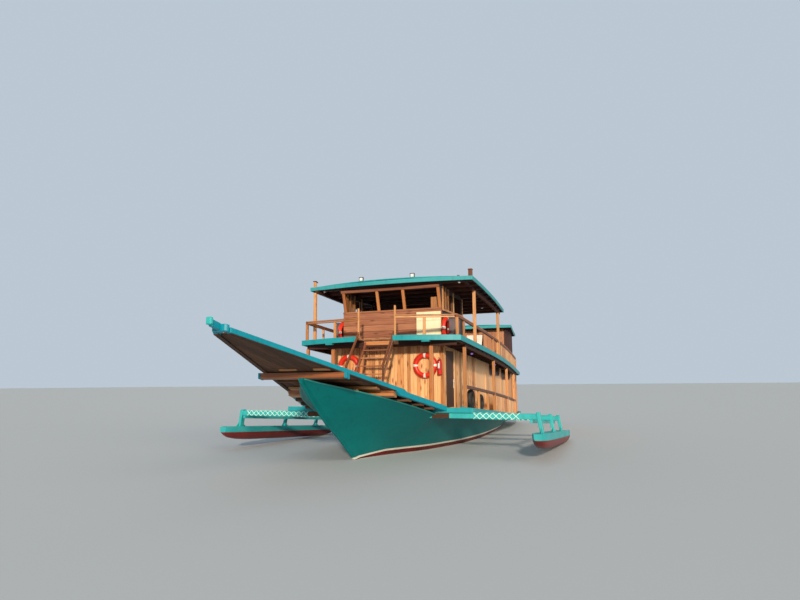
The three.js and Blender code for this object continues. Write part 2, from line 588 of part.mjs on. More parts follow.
function edgeBand(front, aft, half, bulge, top, { above, below }) {
  const [low, high] = [shifted(top, -below), shifted(top, above)];
  const outside = swelledPlate(front, aft, half, bulge, FASCIA_THICK, low, high);
  const inside = swelledPlate(front, aft, half, bulge, GAP, shifted(low, -20), shifted(high, 20));
  return cut(outside, inside);
}
piece('upper_deck_fascia', cut(edgeBand(HOUSE_X, STERN_X, halfUpper, DECK_BULGE, upperTop, DECK_FASCIA),
  notchCutter), PAINT.turquoise);

// Ladder from the bow platform to the notch
const LADDER = { topX: NOTCH.x + GAP, topZ: 3220, footX: 4600, half: 440, treads: 6 };
function buildLadder() {
  const { topX, topZ, footX, half, treads } = LADDER;
  const footZ = mainTop(footX);
  const slope = (topZ - footZ) / (footX - topX);
  const stringer = (y) => slice([
    [topX, topZ], [topX, topZ - 150], [footX - 90, mainTop(footX - 90) + GAP], [footX, footZ + GAP],
  ], y - 25, y + 25);
  const steps = [];
  for (let i = 1; i <= treads; i++) {
    const z = topZ - (i * (topZ - footZ)) / (treads + 1);
    const x = footX - (z - footZ) / slope;
    steps.push(block(x - 110, x + 50, -half, half, z - 45, z - 10));
  }
  return join(stringer(-half), stringer(half), steps);
}
piece('ladder', buildLadder(), PAINT.redwood);

// Front rails of the upper deck, each from a tall post at the notch to the deck's corner
const UPPER_RAIL = { height: 625, wide: 80, high: 90 };
const NOTCH_POST = 75;
const RAIL_CORNER = { x: HOUSE_X - 40, y: 2370 };
const FRONT_RAILS = [       // name, side, notch post x and y, middle post y
  ['upper_front_rail_port', 1, 3814, NOTCH.y1 + NOTCH_POST / 2, 1520],
  ['upper_front_rail_starboard', -1, 3650, NOTCH.y0 - NOTCH_POST / 2, -1385],
];
const upperSeat = shifted(upperTop, GAP);
for (const [name, s, notchX, notchY, middleY] of FRONT_RAILS) {
  const cornerY = s * RAIL_CORNER.y;
  const z = (x) => upperTop(x) + UPPER_RAIL.height - UPPER_RAIL.high / 2;
  const middleX = notchX + ((RAIL_CORNER.x - notchX) * (middleY - notchY)) / (cornerY - notchY);
  const [from, to] = [[notchX, notchY, z(notchX)], [RAIL_CORNER.x, cornerY, z(RAIL_CORNER.x)]];
  piece(name, join(
    bar(from, to, UPPER_RAIL.wide, UPPER_RAIL.high),
    upright(notchX, notchY, 85, NOTCH_POST, upperSeat, shifted(upperTop, 900)),
    upright(middleX, middleY, 70, 70, upperSeat, shifted(upperTop, UPPER_RAIL.height - 30)),
  ), PAINT.post);
}

// Ladder handrails: each starts beside a tall post, passes the notch's edge and ends on a foot post
const HANDRAIL = 40;
const HANDRAIL_OUTLINE = [[3780, 3500], [3780, 3390], [4540, 2430], [4620, 2430], [4620, 2490]];
const HANDRAIL_FOOT_X = 4560;
for (const [name, y] of [
  ['ladder_handrail_port', NOTCH.y1 - GAP - HANDRAIL / 2],
  ['ladder_handrail_starboard', NOTCH.y0 + GAP + HANDRAIL / 2],
]) {
  const rail = slice(HANDRAIL_OUTLINE, y - HANDRAIL / 2, y + HANDRAIL / 2);
  piece(name, join(rail, upright(HANDRAIL_FOOT_X, y, 60, HANDRAIL, deckSeat, 2450)), PAINT.dark);
}

// Upper side rails with the roof's posts
const UPPER_POSTS = {       // x and how far inboard of the deck's edge
  port: [[1700, 45], [-2150, 90]],
  starboard: [[2860, 45], [-200, 90], [-2150, 90]],
};
const SMALL_POSTS = { port: [2750, -1080, -1900], starboard: [2400, -1080, -1900] };
const UPPER_BOARDS = { first: -2370, last: -8400, step: 210, wide: 190 };
const upperLine = shifted(halfUpper, -100);
const mainRoofUnder = (x) => roofTop(MAIN_ROOF)(x) - ROOF_DROP - GAP;
for (const [side, s] of [['port', 1], ['starboard', -1]]) {
  const line = (x) => s * upperLine(x);
  const top = shifted(upperTop, UPPER_RAIL.height);
  const [inner, outer] = [shifted(line, -UPPER_RAIL.wide / 2), shifted(line, UPPER_RAIL.wide / 2)];
  const parts = [
    run(UPPER_BOARDS.last, HOUSE_X - 30, inner, outer, shifted(top, -UPPER_RAIL.high), top),
    run(MAIN_ROOF.aft + 150, UPPER_POSTS[side][0][0] + POST / 2, inner, outer, shifted(mainRoofUnder, -80),
      mainRoofUnder),
    upright(HOUSE_X - 65, line, 70, 80, upperSeat, shifted(top, -10)),
    UPPER_POSTS[side].map(([x, inboard]) => upright(x, s * (halfUpper(x) - inboard), POST, POST, upperSeat,
      mainRoofUnder)),
    SMALL_POSTS[side].map((x) => upright(x, line, 60, 60, upperSeat, shifted(top, -20))),
  ];
  for (let x = UPPER_BOARDS.first; x > UPPER_BOARDS.last; x -= UPPER_BOARDS.step) {
    parts.push(upright(x, line, UPPER_BOARDS.wide, BOARD_THICK, upperSeat, shifted(top, -20)));
  }
  piece(`upper_side_${side}`, join(parts.flat()), PAINT.post);
}

// Wheelhouse
const screenX = (z) => WHEELHOUSE.front + WHEELHOUSE.rake * (z - WHEELHOUSE.sill);
const screenTop = mainRoofUnder(WHEELHOUSE.front) - 10;
function buildWheelhouseFront() {
  const { front, half, sill, post, header, thick, glass } = WHEELHOUSE;
  const lower = run(front - thick, front, -half, half, upperSeat, sill);
  const band = (z0, z1, y0, y1) => slice([
    [screenX(z0) - glass, z0], [screenX(z0), z0], [screenX(z1), z1], [screenX(z1) - glass, z1],
  ], y0, y1);
  const posts = WINDSCREEN_POSTS.map((y) => band(sill - 20, screenTop, y - post / 2, y + post / 2));
  const across = [[sill - 40, sill + 30], [screenTop - header, screenTop]].map(([z0, z1]) => band(
    z0, z1, -half, half));
  return join(lower, posts, across);
}
piece('wheelhouse_front', buildWheelhouseFront(), PAINT.redwood);

for (const [side, s] of [['port', 1], ['starboard', -1]]) {
  const { front, aft, half, sill, thick, glass, windowHeight } = WHEELHOUSE;
  const end = front - thick - GAP;
  const past = screenX(screenTop) + 200;
  const wall = run(aft, past - 100, s * (half - WALL), s * half, upperSeat, mainRoofUnder);
  const behindScreen = (z) => [screenX(z) - glass - 2 * GAP, z];
  const ahead = slice([
    [end, upperTop(end) - 100], [end, sill + GAP], behindScreen(sill + GAP), behindScreen(screenTop + 100),
    [past, screenTop + 100], [past, upperTop(end) - 100],
  ], s * half - 100, s * half + 100);
  const windows = [[aft + 150, aft + 1000], [aft + 1120, end - 120]].map(([x0, x1]) => block(
    x0, x1, s * half - 100, s * half + 100, sill, sill + windowHeight));
  piece(`wheelhouse_${side}_wall`, cut(wall, ahead, windows), PAINT.redwood);
  const [y0, y1] = [SIDE_LOCKER.inner, SIDE_LOCKER.outer].map((y) => s * y).sort((a, b) => a - b);
  piece(`side_locker_${side}`, run(SIDE_LOCKER.aft, SIDE_LOCKER.front, y0, y1, upperSeat,
    shifted(upperTop, SIDE_LOCKER.high)), PAINT.door);
}

function buildWheelhouseBack() {
  const { aft, half } = WHEELHOUSE;
  const inside = half - WALL - GAP;
  return cut(run(aft, aft + WALL, -inside, inside, upperSeat, mainRoofUnder),
    block(aft - 50, aft + 100, -450, 450, upperTop(aft) + 60, upperTop(aft) + 1650));
}
piece('wheelhouse_back_wall', buildWheelhouseBack(), PAINT.redwood);
const NOTICE = { y0: 860, y1: 1640, z0: 3400, z1: 4150 };
piece('notice_panel', block(WHEELHOUSE.front + GAP, WHEELHOUSE.front + 20, NOTICE.y0, NOTICE.y1,
  NOTICE.z0, NOTICE.z1), PAINT.cream);

function buildHelmStand() {
  const { x, y, hubZ } = HELM;
  const cabinet = run(x + 130, x + 480, -500, 500, upperSeat, hubZ - 20);
  const boss = cylinder(60, 60, 'x', [x + 105, y, hubZ]);
  const plate = block(x + 120, x + 180, -120, 120, hubZ - 120, hubZ + 100);
  return join(cabinet, plate, boss);
}
piece('helm_stand', buildHelmStand(), PAINT.redwood);

function buildHelmWheel() {
  const { x, y, hubZ, radius } = HELM;
  const rim = new THREE.TorusGeometry(radius, 18, 6, 24).rotateY(Math.PI / 2).translate(x, y, hubZ);
  const parts = [solid(rim), cylinder(50, 120 - GAP, 'x', [x + 15 - GAP / 2, y, hubZ], 16)];
  for (let i = 0; i < 3; i++) {
    const spoke = new THREE.CylinderGeometry(12, 12, 2 * (radius + 90), 6).rotateX((i * Math.PI) / 3);
    parts.push(solid(spoke.translate(x, y, hubZ)));
  }
  return join(parts);
}
piece('helm_wheel', buildHelmWheel(), PAINT.dark);

// Roofs
function buildRoof(roof, half) {
  const top = roofTop(roof);
  const shell = swelledPlate(roof.front, roof.aft, half, roof.bulge, 0, shifted(top, -ROOF_PLANK), top,
    ROOF_CAMBER);
  const under = [shifted(top, -ROOF_DROP), shifted(top, -ROOF_PLANK + 5)];
  const beams = beamRow(roof.front - 100, roof.aft + 100, shifted(half, -30), ...under);
  return { shell, under, beams };
}
const halfRoof = onStations((x) => MAIN_ROOF.half - 8.9e-6 * (MAIN_ROOF.front - x) ** 2);
const halfAftRoof = onStations((x) => AFT_ROOF.half - 0.155 * (AFT_ROOF.front - x));

function buildMainRoof() {
  const { shell, under, beams } = buildRoof(MAIN_ROOF, halfRoof);
  const rows = [-1, 1].flatMap((s) => [
    run(-2600, 2700, (x) => s * (upperLine(x) - 45), (x) => s * (upperLine(x) + 45), ...under),
    run(WHEELHOUSE.aft, screenX(screenTop), s * (WHEELHOUSE.half - 60), s * (WHEELHOUSE.half + 5), ...under),
  ]);
  const ends = [WHEELHOUSE.aft + 22, screenX(screenTop) - 55].map((x) => run(
    x - 60, x + 60, -WHEELHOUSE.half, WHEELHOUSE.half, ...under));
  const { x, y, wide, top } = ROOF_HORN;
  const horns = [-1, 1].map((s) => block(x - wide / 2, x + wide / 2, s * y - wide / 2, s * y + wide / 2,
    roofTop(MAIN_ROOF)(x) - ROOF_PLANK + 5, top));
  return join(shell, beams, rows, ends, horns);
}
piece('main_roof', buildMainRoof(), PAINT.turquoise);
piece('main_roof_fascia', edgeBand(MAIN_ROOF.front, MAIN_ROOF.aft, halfRoof, MAIN_ROOF.bulge,
  roofTop(MAIN_ROOF), ROOF_FASCIA), PAINT.turquoise);

const aftRoofUnder = (x) => roofTop(AFT_ROOF)(x) - ROOF_DROP - GAP;
const aftInside = (x) => Math.min(AFT_CABIN.half, halfAftRoof(x) - 120);
for (const [side, s] of [['port', 1], ['starboard', -1]]) {
  piece(`aft_cabin_${side}_wall`, run(AFT_CABIN.aft, AFT_CABIN.front, (x) => s * (aftInside(x) - WALL),
    (x) => s * aftInside(x), upperSeat, aftRoofUnder), PAINT.redwood);
}
const AFT_PANES = [[-300, 60], [180, 480]];
const AFT_CABIN_ENDS = [    // name, x of its aft face, openings: y0, y1, and heights above the deck
  ['aft_cabin_front_wall', AFT_CABIN.front - WALL, AFT_PANES.map(([y0, y1]) => [y0, y1, 700, 1500])],
  ['aft_cabin_aft_wall', AFT_CABIN.aft, [[-400, 400, 60, 1600]]],
];
for (const [name, x, holes] of AFT_CABIN_ENDS) {
  const edge = (t) => aftInside(t) - WALL - GAP;
  const wall = run(x, x + WALL, (t) => -edge(t), edge, upperSeat, aftRoofUnder);
  piece(name, cut(wall, holes.map(([y0, y1, low, high]) => block(
    x - 50, x + 100, y0, y1, upperTop(x) + low, upperTop(x) + high))), PAINT.redwood);
}

function buildAftRoof() {
  const { shell, under, beams } = buildRoof(AFT_ROOF, halfAftRoof);
  const rows = [-1, 1].map((s) => run(AFT_CABIN.aft, AFT_CABIN.front, (x) => s * (aftInside(x) - 60),
    (x) => s * (aftInside(x) + 5), ...under));
  const ends = [AFT_CABIN.front - 22, AFT_CABIN.aft + 22].map((x) => run(x - 45, x + 45,
    (t) => 30 - aftInside(t), (t) => aftInside(t) - 30, ...under));
  return join(shell, beams, rows, ends);
}
piece('aft_roof', buildAftRoof(), PAINT.turquoise);
piece('aft_roof_fascia', edgeBand(AFT_ROOF.front, AFT_ROOF.aft, halfAftRoof, AFT_ROOF.bulge,
  roofTop(AFT_ROOF), ROOF_FASCIA), PAINT.turquoise);

// Upper stern rail
function buildSternRail() {
  const x = STERN_X + 90;
  const half = upperLine(x) - 20;
  const top = shifted(upperTop, UPPER_RAIL.height);
  const rail = run(x - 40, x + 40, -half, half, shifted(top, -UPPER_RAIL.high), top);
  const posts = [-half + 40, -half / 3, half / 3, half - 40].map((y) => upright(x, y, 60, 60, upperSeat,
    shifted(top, -20)));
  return join(rail, posts);
}
piece('upper_stern_rail', buildSternRail(), PAINT.post);

// Life rings: name, centre x, y, z, axis
const RING = { radius: 305, tube: 68 };
const RINGS = [
  ['life_ring_front_port', CABIN_FRONT_X + RING.tube + GAP, 1235, 2510, 'x'],
  ['life_ring_front_starboard', CABIN_FRONT_X + RING.tube + GAP, -1280, 2520, 'x'],
  ['life_ring_side_port', 2200, WHEELHOUSE.half + RING.tube + GAP, 3640, 'y'],
  ['life_ring_side_starboard', 2300, -WHEELHOUSE.half - RING.tube - GAP, 3620, 'y'],
];
for (const [name, x, y, z, axis] of RINGS) {
  const torus = new THREE.TorusGeometry(RING.radius, RING.tube, 8, 20);
  if (axis === 'x') torus.rotateY(Math.PI / 2);
  if (axis === 'y') torus.rotateX(Math.PI / 2);
  piece(name, solid(torus.translate(x, y, z)), PAINT.ring);
}

const EXTINGUISHER = { x: CABIN_FRONT_X + 80, y: 1690, foot: 2225, bracketHalf: 32, bracketZ: 2400 };
const BOTTLE = [[0, 0], [66, 0], [74, 14], [74, 400], [40, 460], [22, 475], [22, 520], [0, 520]];
function buildExtinguisher() {
  const { x, y, foot, bracketHalf, bracketZ } = EXTINGUISHER;
  const bottle = new THREE.LatheGeometry(BOTTLE.map(([r, h]) => new THREE.Vector2(r, h)), 20)
    .rotateX(Math.PI / 2);
  return join(solid(bottle.translate(x, y, foot)),
    block(CABIN_FRONT_X + GAP, x, y - bracketHalf, y + bracketHalf, bracketZ, bracketZ + 30));
}
piece('extinguisher', buildExtinguisher(), PAINT.ring);

export default group;
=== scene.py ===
"""The looks of a two-deck wooden outrigger tour boat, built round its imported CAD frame.

Metres, +X to the bow, +Y to port, +Z up. The water is z = 0.
"""
import math
import random

import bmesh
import bpy
import numpy as np
from mathutils import Matrix, Vector


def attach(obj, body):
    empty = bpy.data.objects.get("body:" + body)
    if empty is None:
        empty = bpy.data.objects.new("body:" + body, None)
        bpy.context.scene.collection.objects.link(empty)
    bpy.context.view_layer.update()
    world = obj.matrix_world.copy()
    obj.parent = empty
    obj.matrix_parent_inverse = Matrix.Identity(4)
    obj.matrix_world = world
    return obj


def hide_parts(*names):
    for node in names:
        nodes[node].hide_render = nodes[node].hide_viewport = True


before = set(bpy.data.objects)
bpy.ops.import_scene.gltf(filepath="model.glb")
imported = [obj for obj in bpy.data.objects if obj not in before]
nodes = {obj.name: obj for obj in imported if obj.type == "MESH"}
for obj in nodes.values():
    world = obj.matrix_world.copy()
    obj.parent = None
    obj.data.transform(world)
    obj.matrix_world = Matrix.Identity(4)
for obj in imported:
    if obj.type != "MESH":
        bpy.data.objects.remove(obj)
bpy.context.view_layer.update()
scene = bpy.context.scene
dice = random.Random(11)
SIDES = (("port", 1), ("starboard", -1))


# Camera, light and floor

EYE = Vector((19.62, 7.182, 1.966))
HEADING, PITCH, ROLL = (math.radians(angle) for angle in (21.829, 8.016, -0.444))
LENS, SENSOR = 26.86, 36.0
LAMPS = [  # name, where it shines from, strength, spread in degrees, colour
    ("key", (0.906, 0.330, 0.267), 3.5, 3, "#FFEBD3"),
    ("port_fill", (0.30, 0.90, 0.35), 1.35, 50, "#FFEFD8"),
    ("stern_fill", (-0.8, -0.5, 0.6), 0.45, 60, "#E8F1FF")]
SKY, SKY_STRENGTH, BACKDROP_LIFT = "#CFDDEA", 0.45, 0.35
FLOOR, FLOOR_REACH = "#C0C7CB", 900


def place_camera():
    """Low over the water, ahead of the bow and to port, looking slightly up."""
    forward = Vector((-math.cos(HEADING), -math.sin(HEADING), 0))
    right = Vector((-math.sin(HEADING), math.cos(HEADING), 0))
    up = Vector((0, 0, 1))
    ahead = forward * math.cos(PITCH) + up * math.sin(PITCH)
    above = up * math.cos(PITCH) - forward * math.sin(PITCH)
    level = right * math.cos(ROLL) + above * math.sin(ROLL)
    upright_axis = above * math.cos(ROLL) - right * math.sin(ROLL)
    camera = bpy.data.objects.new("camera", bpy.data.cameras.new("camera"))
    scene.collection.objects.link(camera)
    camera.matrix_world = Matrix((
        (level.x, upright_axis.x, -ahead.x, EYE.x),
        (level.y, upright_axis.y, -ahead.y, EYE.y),
        (level.z, upright_axis.z, -ahead.z, EYE.z),
        (0, 0, 0, 1),
    ))
    camera.data.lens, camera.data.sensor_width = LENS, SENSOR
    camera.data.clip_end = 2000
    scene.camera = camera


def srgb(code):
    """The linear RGBA of an sRGB hex colour."""
    def linear(part):
        value = int(part, 16) / 255
        return value / 12.92 if value <= 0.04045 else ((value + 0.055) / 1.055) ** 2.4
    return (linear(code[1:3]), linear(code[3:5]), linear(code[5:7]), 1.0)


def wire(tree, node, inputs):
    """Sets a node's inputs to values, or links them to a socket or to another node's first live output."""
    for key, value in inputs.items():
        if isinstance(value, bpy.types.Node):
            value = next(output for output in value.outputs if output.enabled)
        if isinstance(value, bpy.types.NodeSocket):
            tree.links.new(value, node.inputs[key])
        else:
            node.inputs[key].default_value = value


def add(tree, kind, inputs=None, **settings):
    """Adds one node to a tree, with its settings and its values or links."""
    made = tree.nodes.new(kind)
    for name, value in settings.items():
        setattr(made, name, value)
    wire(tree, made, inputs or {})
    return made


def light_the_scene():
    """Low warm light from ahead and to port, soft fills and a pale sky."""
    for name, toward, strength, spread, colour in LAMPS:
        data = bpy.data.lights.new(name, "SUN")
        data.energy, data.angle, data.color = strength, math.radians(spread), srgb(colour)[:3]
        lamp = bpy.data.objects.new(name, data)
        lamp.rotation_euler = Vector(toward).to_track_quat("Z", "Y").to_euler()
        scene.collection.objects.link(lamp)
    world = bpy.data.worlds.new("studio")
    world.use_nodes = True
    tree = world.node_tree
    backdrop = add(tree, "ShaderNodeLightPath").outputs["Is Camera Ray"]
    wire(tree, tree.nodes["Background"], {"Color": srgb(SKY), "Strength": add(
        tree, "ShaderNodeMath", {0: backdrop, 1: BACKDROP_LIFT, 2: SKY_STRENGTH}, operation="MULTIPLY_ADD")})
    scene.world = world
    scene.view_settings.view_transform = "Standard"


def lay_floor():
    """A plain pale floor at the water's height."""
    mesh = bpy.data.meshes.new("floor")
    mesh.from_pydata([(x * FLOOR_REACH, y * FLOOR_REACH, 0) for x, y in ((-1, -1), (1, -1), (1, 1), (-1, 1))],
                     [], [(0, 1, 2, 3)])
    floor = bpy.data.objects.new("floor", mesh)
    scene.collection.objects.link(floor)
    material = bpy.data.materials.new("pale_floor")
    material.use_nodes = True
    wire(material.node_tree, material.node_tree.nodes["Principled BSDF"], {
        "Base Color": srgb(FLOOR), "Roughness": 0.9, "Specular IOR Level": 0.1})
    mesh.materials.append(material)


place_camera()
light_the_scene()
lay_floor()


# Finishes. Every size is in metres. Real grain lines 3 mm apart, brush marks of 1 mm and a rope's fibres
# are too fine to show, so they are drawn three to ten times as coarse.

STREAK, GRAIN_LINE = (0.9, 0.035, 0.035), (0.5, 0.009, 0.009)      # along, across and through a timber
KNOTS_PER_METRE = (2.6, 8.0, 8.0)
GRAIN_DEPTH = BRUSH_DEPTH = 0.0012
BRUSH_MARK, FADED_PATCH = (0.4, 0.012, 0.012), (1.1, 1.1, 0.6)
DIRT_RUN, PAINT_CHIP, BARE_WOOD = (0.12, 0.12, 0.5), (0.09, 0.07, 0.05), "#8A6A4A"


def new_finish(name, roughness, **sockets):
    """A new material, its node tree and its shader, with the values that are the same all over."""
    material = bpy.data.materials.new(name)
    material.use_nodes = True
    tree = material.node_tree
    surface = tree.nodes["Principled BSDF"]
    wire(tree, surface, {"Roughness": roughness})
    wire(tree, surface, {socket.replace("_", " "): value for socket, value in sockets.items()})
    return material, tree, surface


def cloud(tree, place, size, detail, roughness=0.55, twist=0.0):
    """A soft random pattern whose lumps have a real size along each axis."""
    scaled = add(tree, "ShaderNodeMapping", {"Vector": place, "Scale": tuple(1 / length for length in size)})
    return add(tree, "ShaderNodeTexNoise", {
        "Vector": scaled, "Scale": 1.0, "Detail": detail, "Roughness": roughness, "Distortion": twist})


def patches(tree, place, size, low, high, most=1.0, detail=4.0, roughness=0.55, twist=0.0):
    """Shares for soft patches: nothing where the cloud is under low, and most where it is over high."""
    return add(tree, "ShaderNodeMapRange", {
        "Value": cloud(tree, place, size, detail, roughness, twist), "From Min": low, "From Max": high,
        "To Max": most})


def layered(tree, colour, *layers):
    """A colour with others laid over it, each by its share."""
    for share, over in layers:
        colour = add(tree, "ShaderNodeMix", {0: share, 6: colour, 7: over}, data_type="RGBA")
    return colour


def timber(name, pale, middle, deep, roughness, coat, knots, weathered=None):
    """Sawn timber: a tone for each board, streaks along it, fine grain and a few knots."""
    material, tree, surface = new_finish(name, roughness, Coat_Weight=coat, Coat_Roughness=0.25)
    grain = add(tree, "ShaderNodeAttribute", attribute_name="grain").outputs["Vector"]
    tone = add(tree, "ShaderNodeAttribute", attribute_name="tone").outputs["Fac"]
    streaks, lines = cloud(tree, grain, STREAK, 4.0, 0.65, 1.0), cloud(tree, grain, GRAIN_LINE, 3.0, 0.6, 0.4)
    shade = add(tree, "ShaderNodeMath", {0: lines, 1: 0.28}, operation="MULTIPLY")
    for part, weight in ((streaks, 0.62), (tone, 0.42)):
        shade = add(tree, "ShaderNodeMath", {0: part, 1: weight, 2: shade}, operation="MULTIPLY_ADD")
    shade = add(tree, "ShaderNodeMapRange", {"Value": shade, "From Min": 0.37, "From Max": 0.95})
    wood = add(tree, "ShaderNodeValToRGB", {"Fac": shade})
    stops = wood.color_ramp.elements
    stops[0].color, stops[1].color, stops.new(0.5).color = srgb(deep), srgb(pale), srgb(middle)
    spots = add(tree, "ShaderNodeMapping", {"Vector": grain, "Scale": KNOTS_PER_METRE})
    cells = add(tree, "ShaderNodeTexVoronoi", {"Vector": spots, "Scale": 1.0})
    knot = add(tree, "ShaderNodeMapRange", {
        "Value": cells, "From Min": 0.10, "From Max": 0.30, "To Min": knots, "To Max": 0.0})
    colour = add(tree, "ShaderNodeMix", {0: knot, 6: wood, 7: srgb(deep)}, data_type="RGBA",
                 blend_type="MULTIPLY")
    if weathered:
        place = add(tree, "ShaderNodeTexCoord").outputs["Object"]
        worn = patches(tree, place, (0.9, 0.9, 0.5), 0.48, 0.72, 0.6, 5.0, 0.65)
        colour = layered(tree, colour, (worn, srgb(weathered)))
    relief = add(tree, "ShaderNodeBump", {"Height": lines, "Distance": GRAIN_DEPTH, "Strength": 0.5})
    wire(tree, surface, {"Base Color": colour, "Normal": relief})
    return material


def enamel(name, colour, faded, shade, roughness=0.36):
    """Brushed enamel on wood: faint fading and dirt, brush marks, and bare wood at a few chips."""
    material, tree, surface = new_finish(name, roughness, Specular_IOR_Level=0.3, Coat_Weight=0.08,
                                         Coat_Roughness=0.2)
    place = add(tree, "ShaderNodeTexCoord").outputs["Object"]
    painted = layered(tree, srgb(colour), (patches(tree, place, FADED_PATCH, 0.4, 0.7, 0.55), srgb(faded)),
                      (patches(tree, place, DIRT_RUN, 0.5, 0.75, 0.45, 5.0, 0.65), srgb(shade)),
                      (patches(tree, place, PAINT_CHIP, 0.70, 0.72, 1.0, 6.0, 0.7, 0.6), srgb(BARE_WOOD)))
    brushed = add(tree, "ShaderNodeBump", {
        "Height": cloud(tree, place, BRUSH_MARK, 2.0), "Distance": BRUSH_DEPTH, "Strength": 0.35})
    wire(tree, surface, {"Base Color": painted, "Normal": brushed})
    return material


def plain(name, colour, second, roughness, patch, relief=0.0, grit=0.01, **sockets):
    """A one-coloured finish with a second tone in patches of a real size, and a fine relief."""
    material, tree, surface = new_finish(name, roughness, **sockets)
    place = add(tree, "ShaderNodeTexCoord").outputs["Object"]
    spread = patches(tree, place, (patch,) * 3, 0.35, 0.7)
    wire(tree, surface, {"Base Color": layered(tree, srgb(colour), (spread, srgb(second)))})
    if relief:
        wire(tree, surface, {"Normal": add(tree, "ShaderNodeBump", {
            "Height": cloud(tree, place, (grit,) * 3, 2.0), "Distance": relief, "Strength": 0.6})})
    return material


def hull_enamel():
    """Teal enamel over faired planks, with a pale boot stripe and red bottom paint below it."""
    material, tree, surface = new_finish("teal_hull_enamel", 0.42, Specular_IOR_Level=0.13, Coat_Weight=0.03,
                                         Coat_Roughness=0.15)
    place = add(tree, "ShaderNodeTexCoord").outputs["Object"]
    axes = add(tree, "ShaderNodeSeparateXYZ", {"Vector": place}).outputs
    teal = layered(tree, srgb("#00686A"),
                   (patches(tree, place, (2.6, 1.0, 0.7), 0.38, 0.72, 0.7), srgb("#037577")),
                   (patches(tree, place, (0.10, 0.10, 1.3), 0.52, 0.8, 0.35, 4.0, 0.6), srgb("#004648")))
    ragged = cloud(tree, place, (0.25, 0.25, 0.1), 3.0)
    # The stripe's middle dips toward the stem, and its edges are not quite straight
    stripe = add(tree, "ShaderNodeMapRange", {
        "Value": axes["X"], "From Min": 3.9, "From Max": 5.2, "To Min": 0.155, "To Max": 0.030})
    height = add(tree, "ShaderNodeMath", {0: ragged, 1: 0.012, 2: axes["Z"]}, operation="MULTIPLY_ADD")
    above = add(tree, "ShaderNodeMath", {0: height, 1: stripe}, operation="SUBTRACT")
    over_bottom = add(tree, "ShaderNodeMapRange", {"Value": above, "From Min": -0.030, "From Max": -0.026})
    over_stripe = add(tree, "ShaderNodeMapRange", {"Value": above, "From Min": 0.026, "From Max": 0.030})
    wet = add(tree, "ShaderNodeMath", {0: ragged, 1: 0.048, 2: axes["Z"]}, operation="MULTIPLY_ADD")
    weed = add(tree, "ShaderNodeMapRange", {"Value": wet, "From Max": 0.05, "To Min": 0.55, "To Max": 0.0})
    colour = layered(tree, srgb("#6E2119"),
                     (patches(tree, place, (0.4, 0.4, 0.12), 0.4, 0.7, 1.0, 5.0), srgb("#3F100D")),
                     (weed, srgb("#2B2A1A")), (over_bottom, srgb("#DDD9CC")), (over_stripe, teal))
    # The planks' seams show faintly through the paint, and the planks are a little unfair
    strake = add(tree, "ShaderNodeAttribute", attribute_name="strake").outputs["Fac"]
    off_seam = add(tree, "ShaderNodeMath", {0: strake, 1: 0.5}, operation="PINGPONG")
    seam = add(tree, "ShaderNodeMapRange", {"Value": off_seam, "From Max": 0.035, "To Max": 0.35})
    unfair = add(tree, "ShaderNodeMath", {0: cloud(tree, place, (1.8, 0.5, 0.35), 2.0), 1: 3.0, 2: seam},
                 operation="MULTIPLY_ADD")
    relief = add(tree, "ShaderNodeBump", {"Height": unfair, "Distance": 0.006, "Strength": 0.35})
    wire(tree, surface, {"Base Color": colour, "Normal": relief})
    return material


def float_enamel():
    """The floats' paint: turquoise above and red bottom paint below a line that follows the float."""
    material, tree, surface = new_finish("float_enamel", 0.42, Specular_IOR_Level=0.3)
    place = add(tree, "ShaderNodeTexCoord").outputs["Object"]
    axes = add(tree, "ShaderNodeSeparateXYZ", {"Vector": place}).outputs
    line = add(tree, "ShaderNodeMath", {0: axes["X"], 1: 0.056, 2: 0.31}, operation="MULTIPLY_ADD")
    above = add(tree, "ShaderNodeMath", {0: axes["Z"], 1: line}, operation="SUBTRACT")
    over_line = add(tree, "ShaderNodeMapRange", {"Value": above, "From Min": -0.004, "From Max": 0.004})
    fading = patches(tree, place, (0.8, 0.5, 0.4), 0.4, 0.7, 0.7)
    scum = patches(tree, place, (0.3, 0.3, 0.06), 0.5, 0.75, 0.6, 5.0)
    turquoise = layered(tree, srgb("#2CA2A6"), (fading, srgb("#4CB8BC")))
    colour = layered(tree, srgb("#6E211C"), (fading, srgb("#87302A")), (scum, srgb("#4A1712")),
                     (over_line, turquoise))
    brushed = add(tree, "ShaderNodeBump", {
        "Height": cloud(tree, place, (0.5, 0.015, 0.015), 2.0), "Distance": 0.0015, "Strength": 0.4})
    wire(tree, surface, {"Base Color": colour, "Normal": brushed})
    return material


# Paint, all brushed by hand: weathered gloss, softly mottled, that shows the planks under it
HULL_PAINT = hull_enamel()
FLOAT_PAINT = float_enamel()
# Edge boards, in full light: a clear turquoise, paler where it has faded
TRIM_PAINT = enamel("turquoise_trim_enamel", "#1C96A0", "#31A8B0", "#136E77")
# Bow platform beams: newer paint, bluer and deeper
BEAM_PAINT = enamel("sea_blue_beam_enamel", "#00889D", "#1497AA", "#035D6C")
# Booms and struts: sun-bleached, the palest of the blues
BOOM_PAINT = enamel("pale_turquoise_boom_enamel", "#2EABAD", "#4FC0C0", "#218386")
# Roof edges and gunwale: chalky old paint with little shine
ROOF_EDGE = enamel("faded_green_roof_enamel", "#3298A0", "#4BAAB0", "#22747A", 0.45)
CAP_PAINT = enamel("pale_gunwale_enamel", "#26827F", "#3C9793", "#195E5C", 0.45)
# Flat oil paint on boards: warm off-white with dull stains
CREAM_PAINT = enamel("cream_board_paint", "#F3E4BA", "#FBF1D2", "#D6BC86", 0.5)
# Varnished pine: pale honey boards, each its own tone, with dark knots under a thin shine
HONEY = timber("varnished_pine_boards", "#F8CF96", "#DC9C60", "#8C532B", 0.45, 0.12, 0.9)
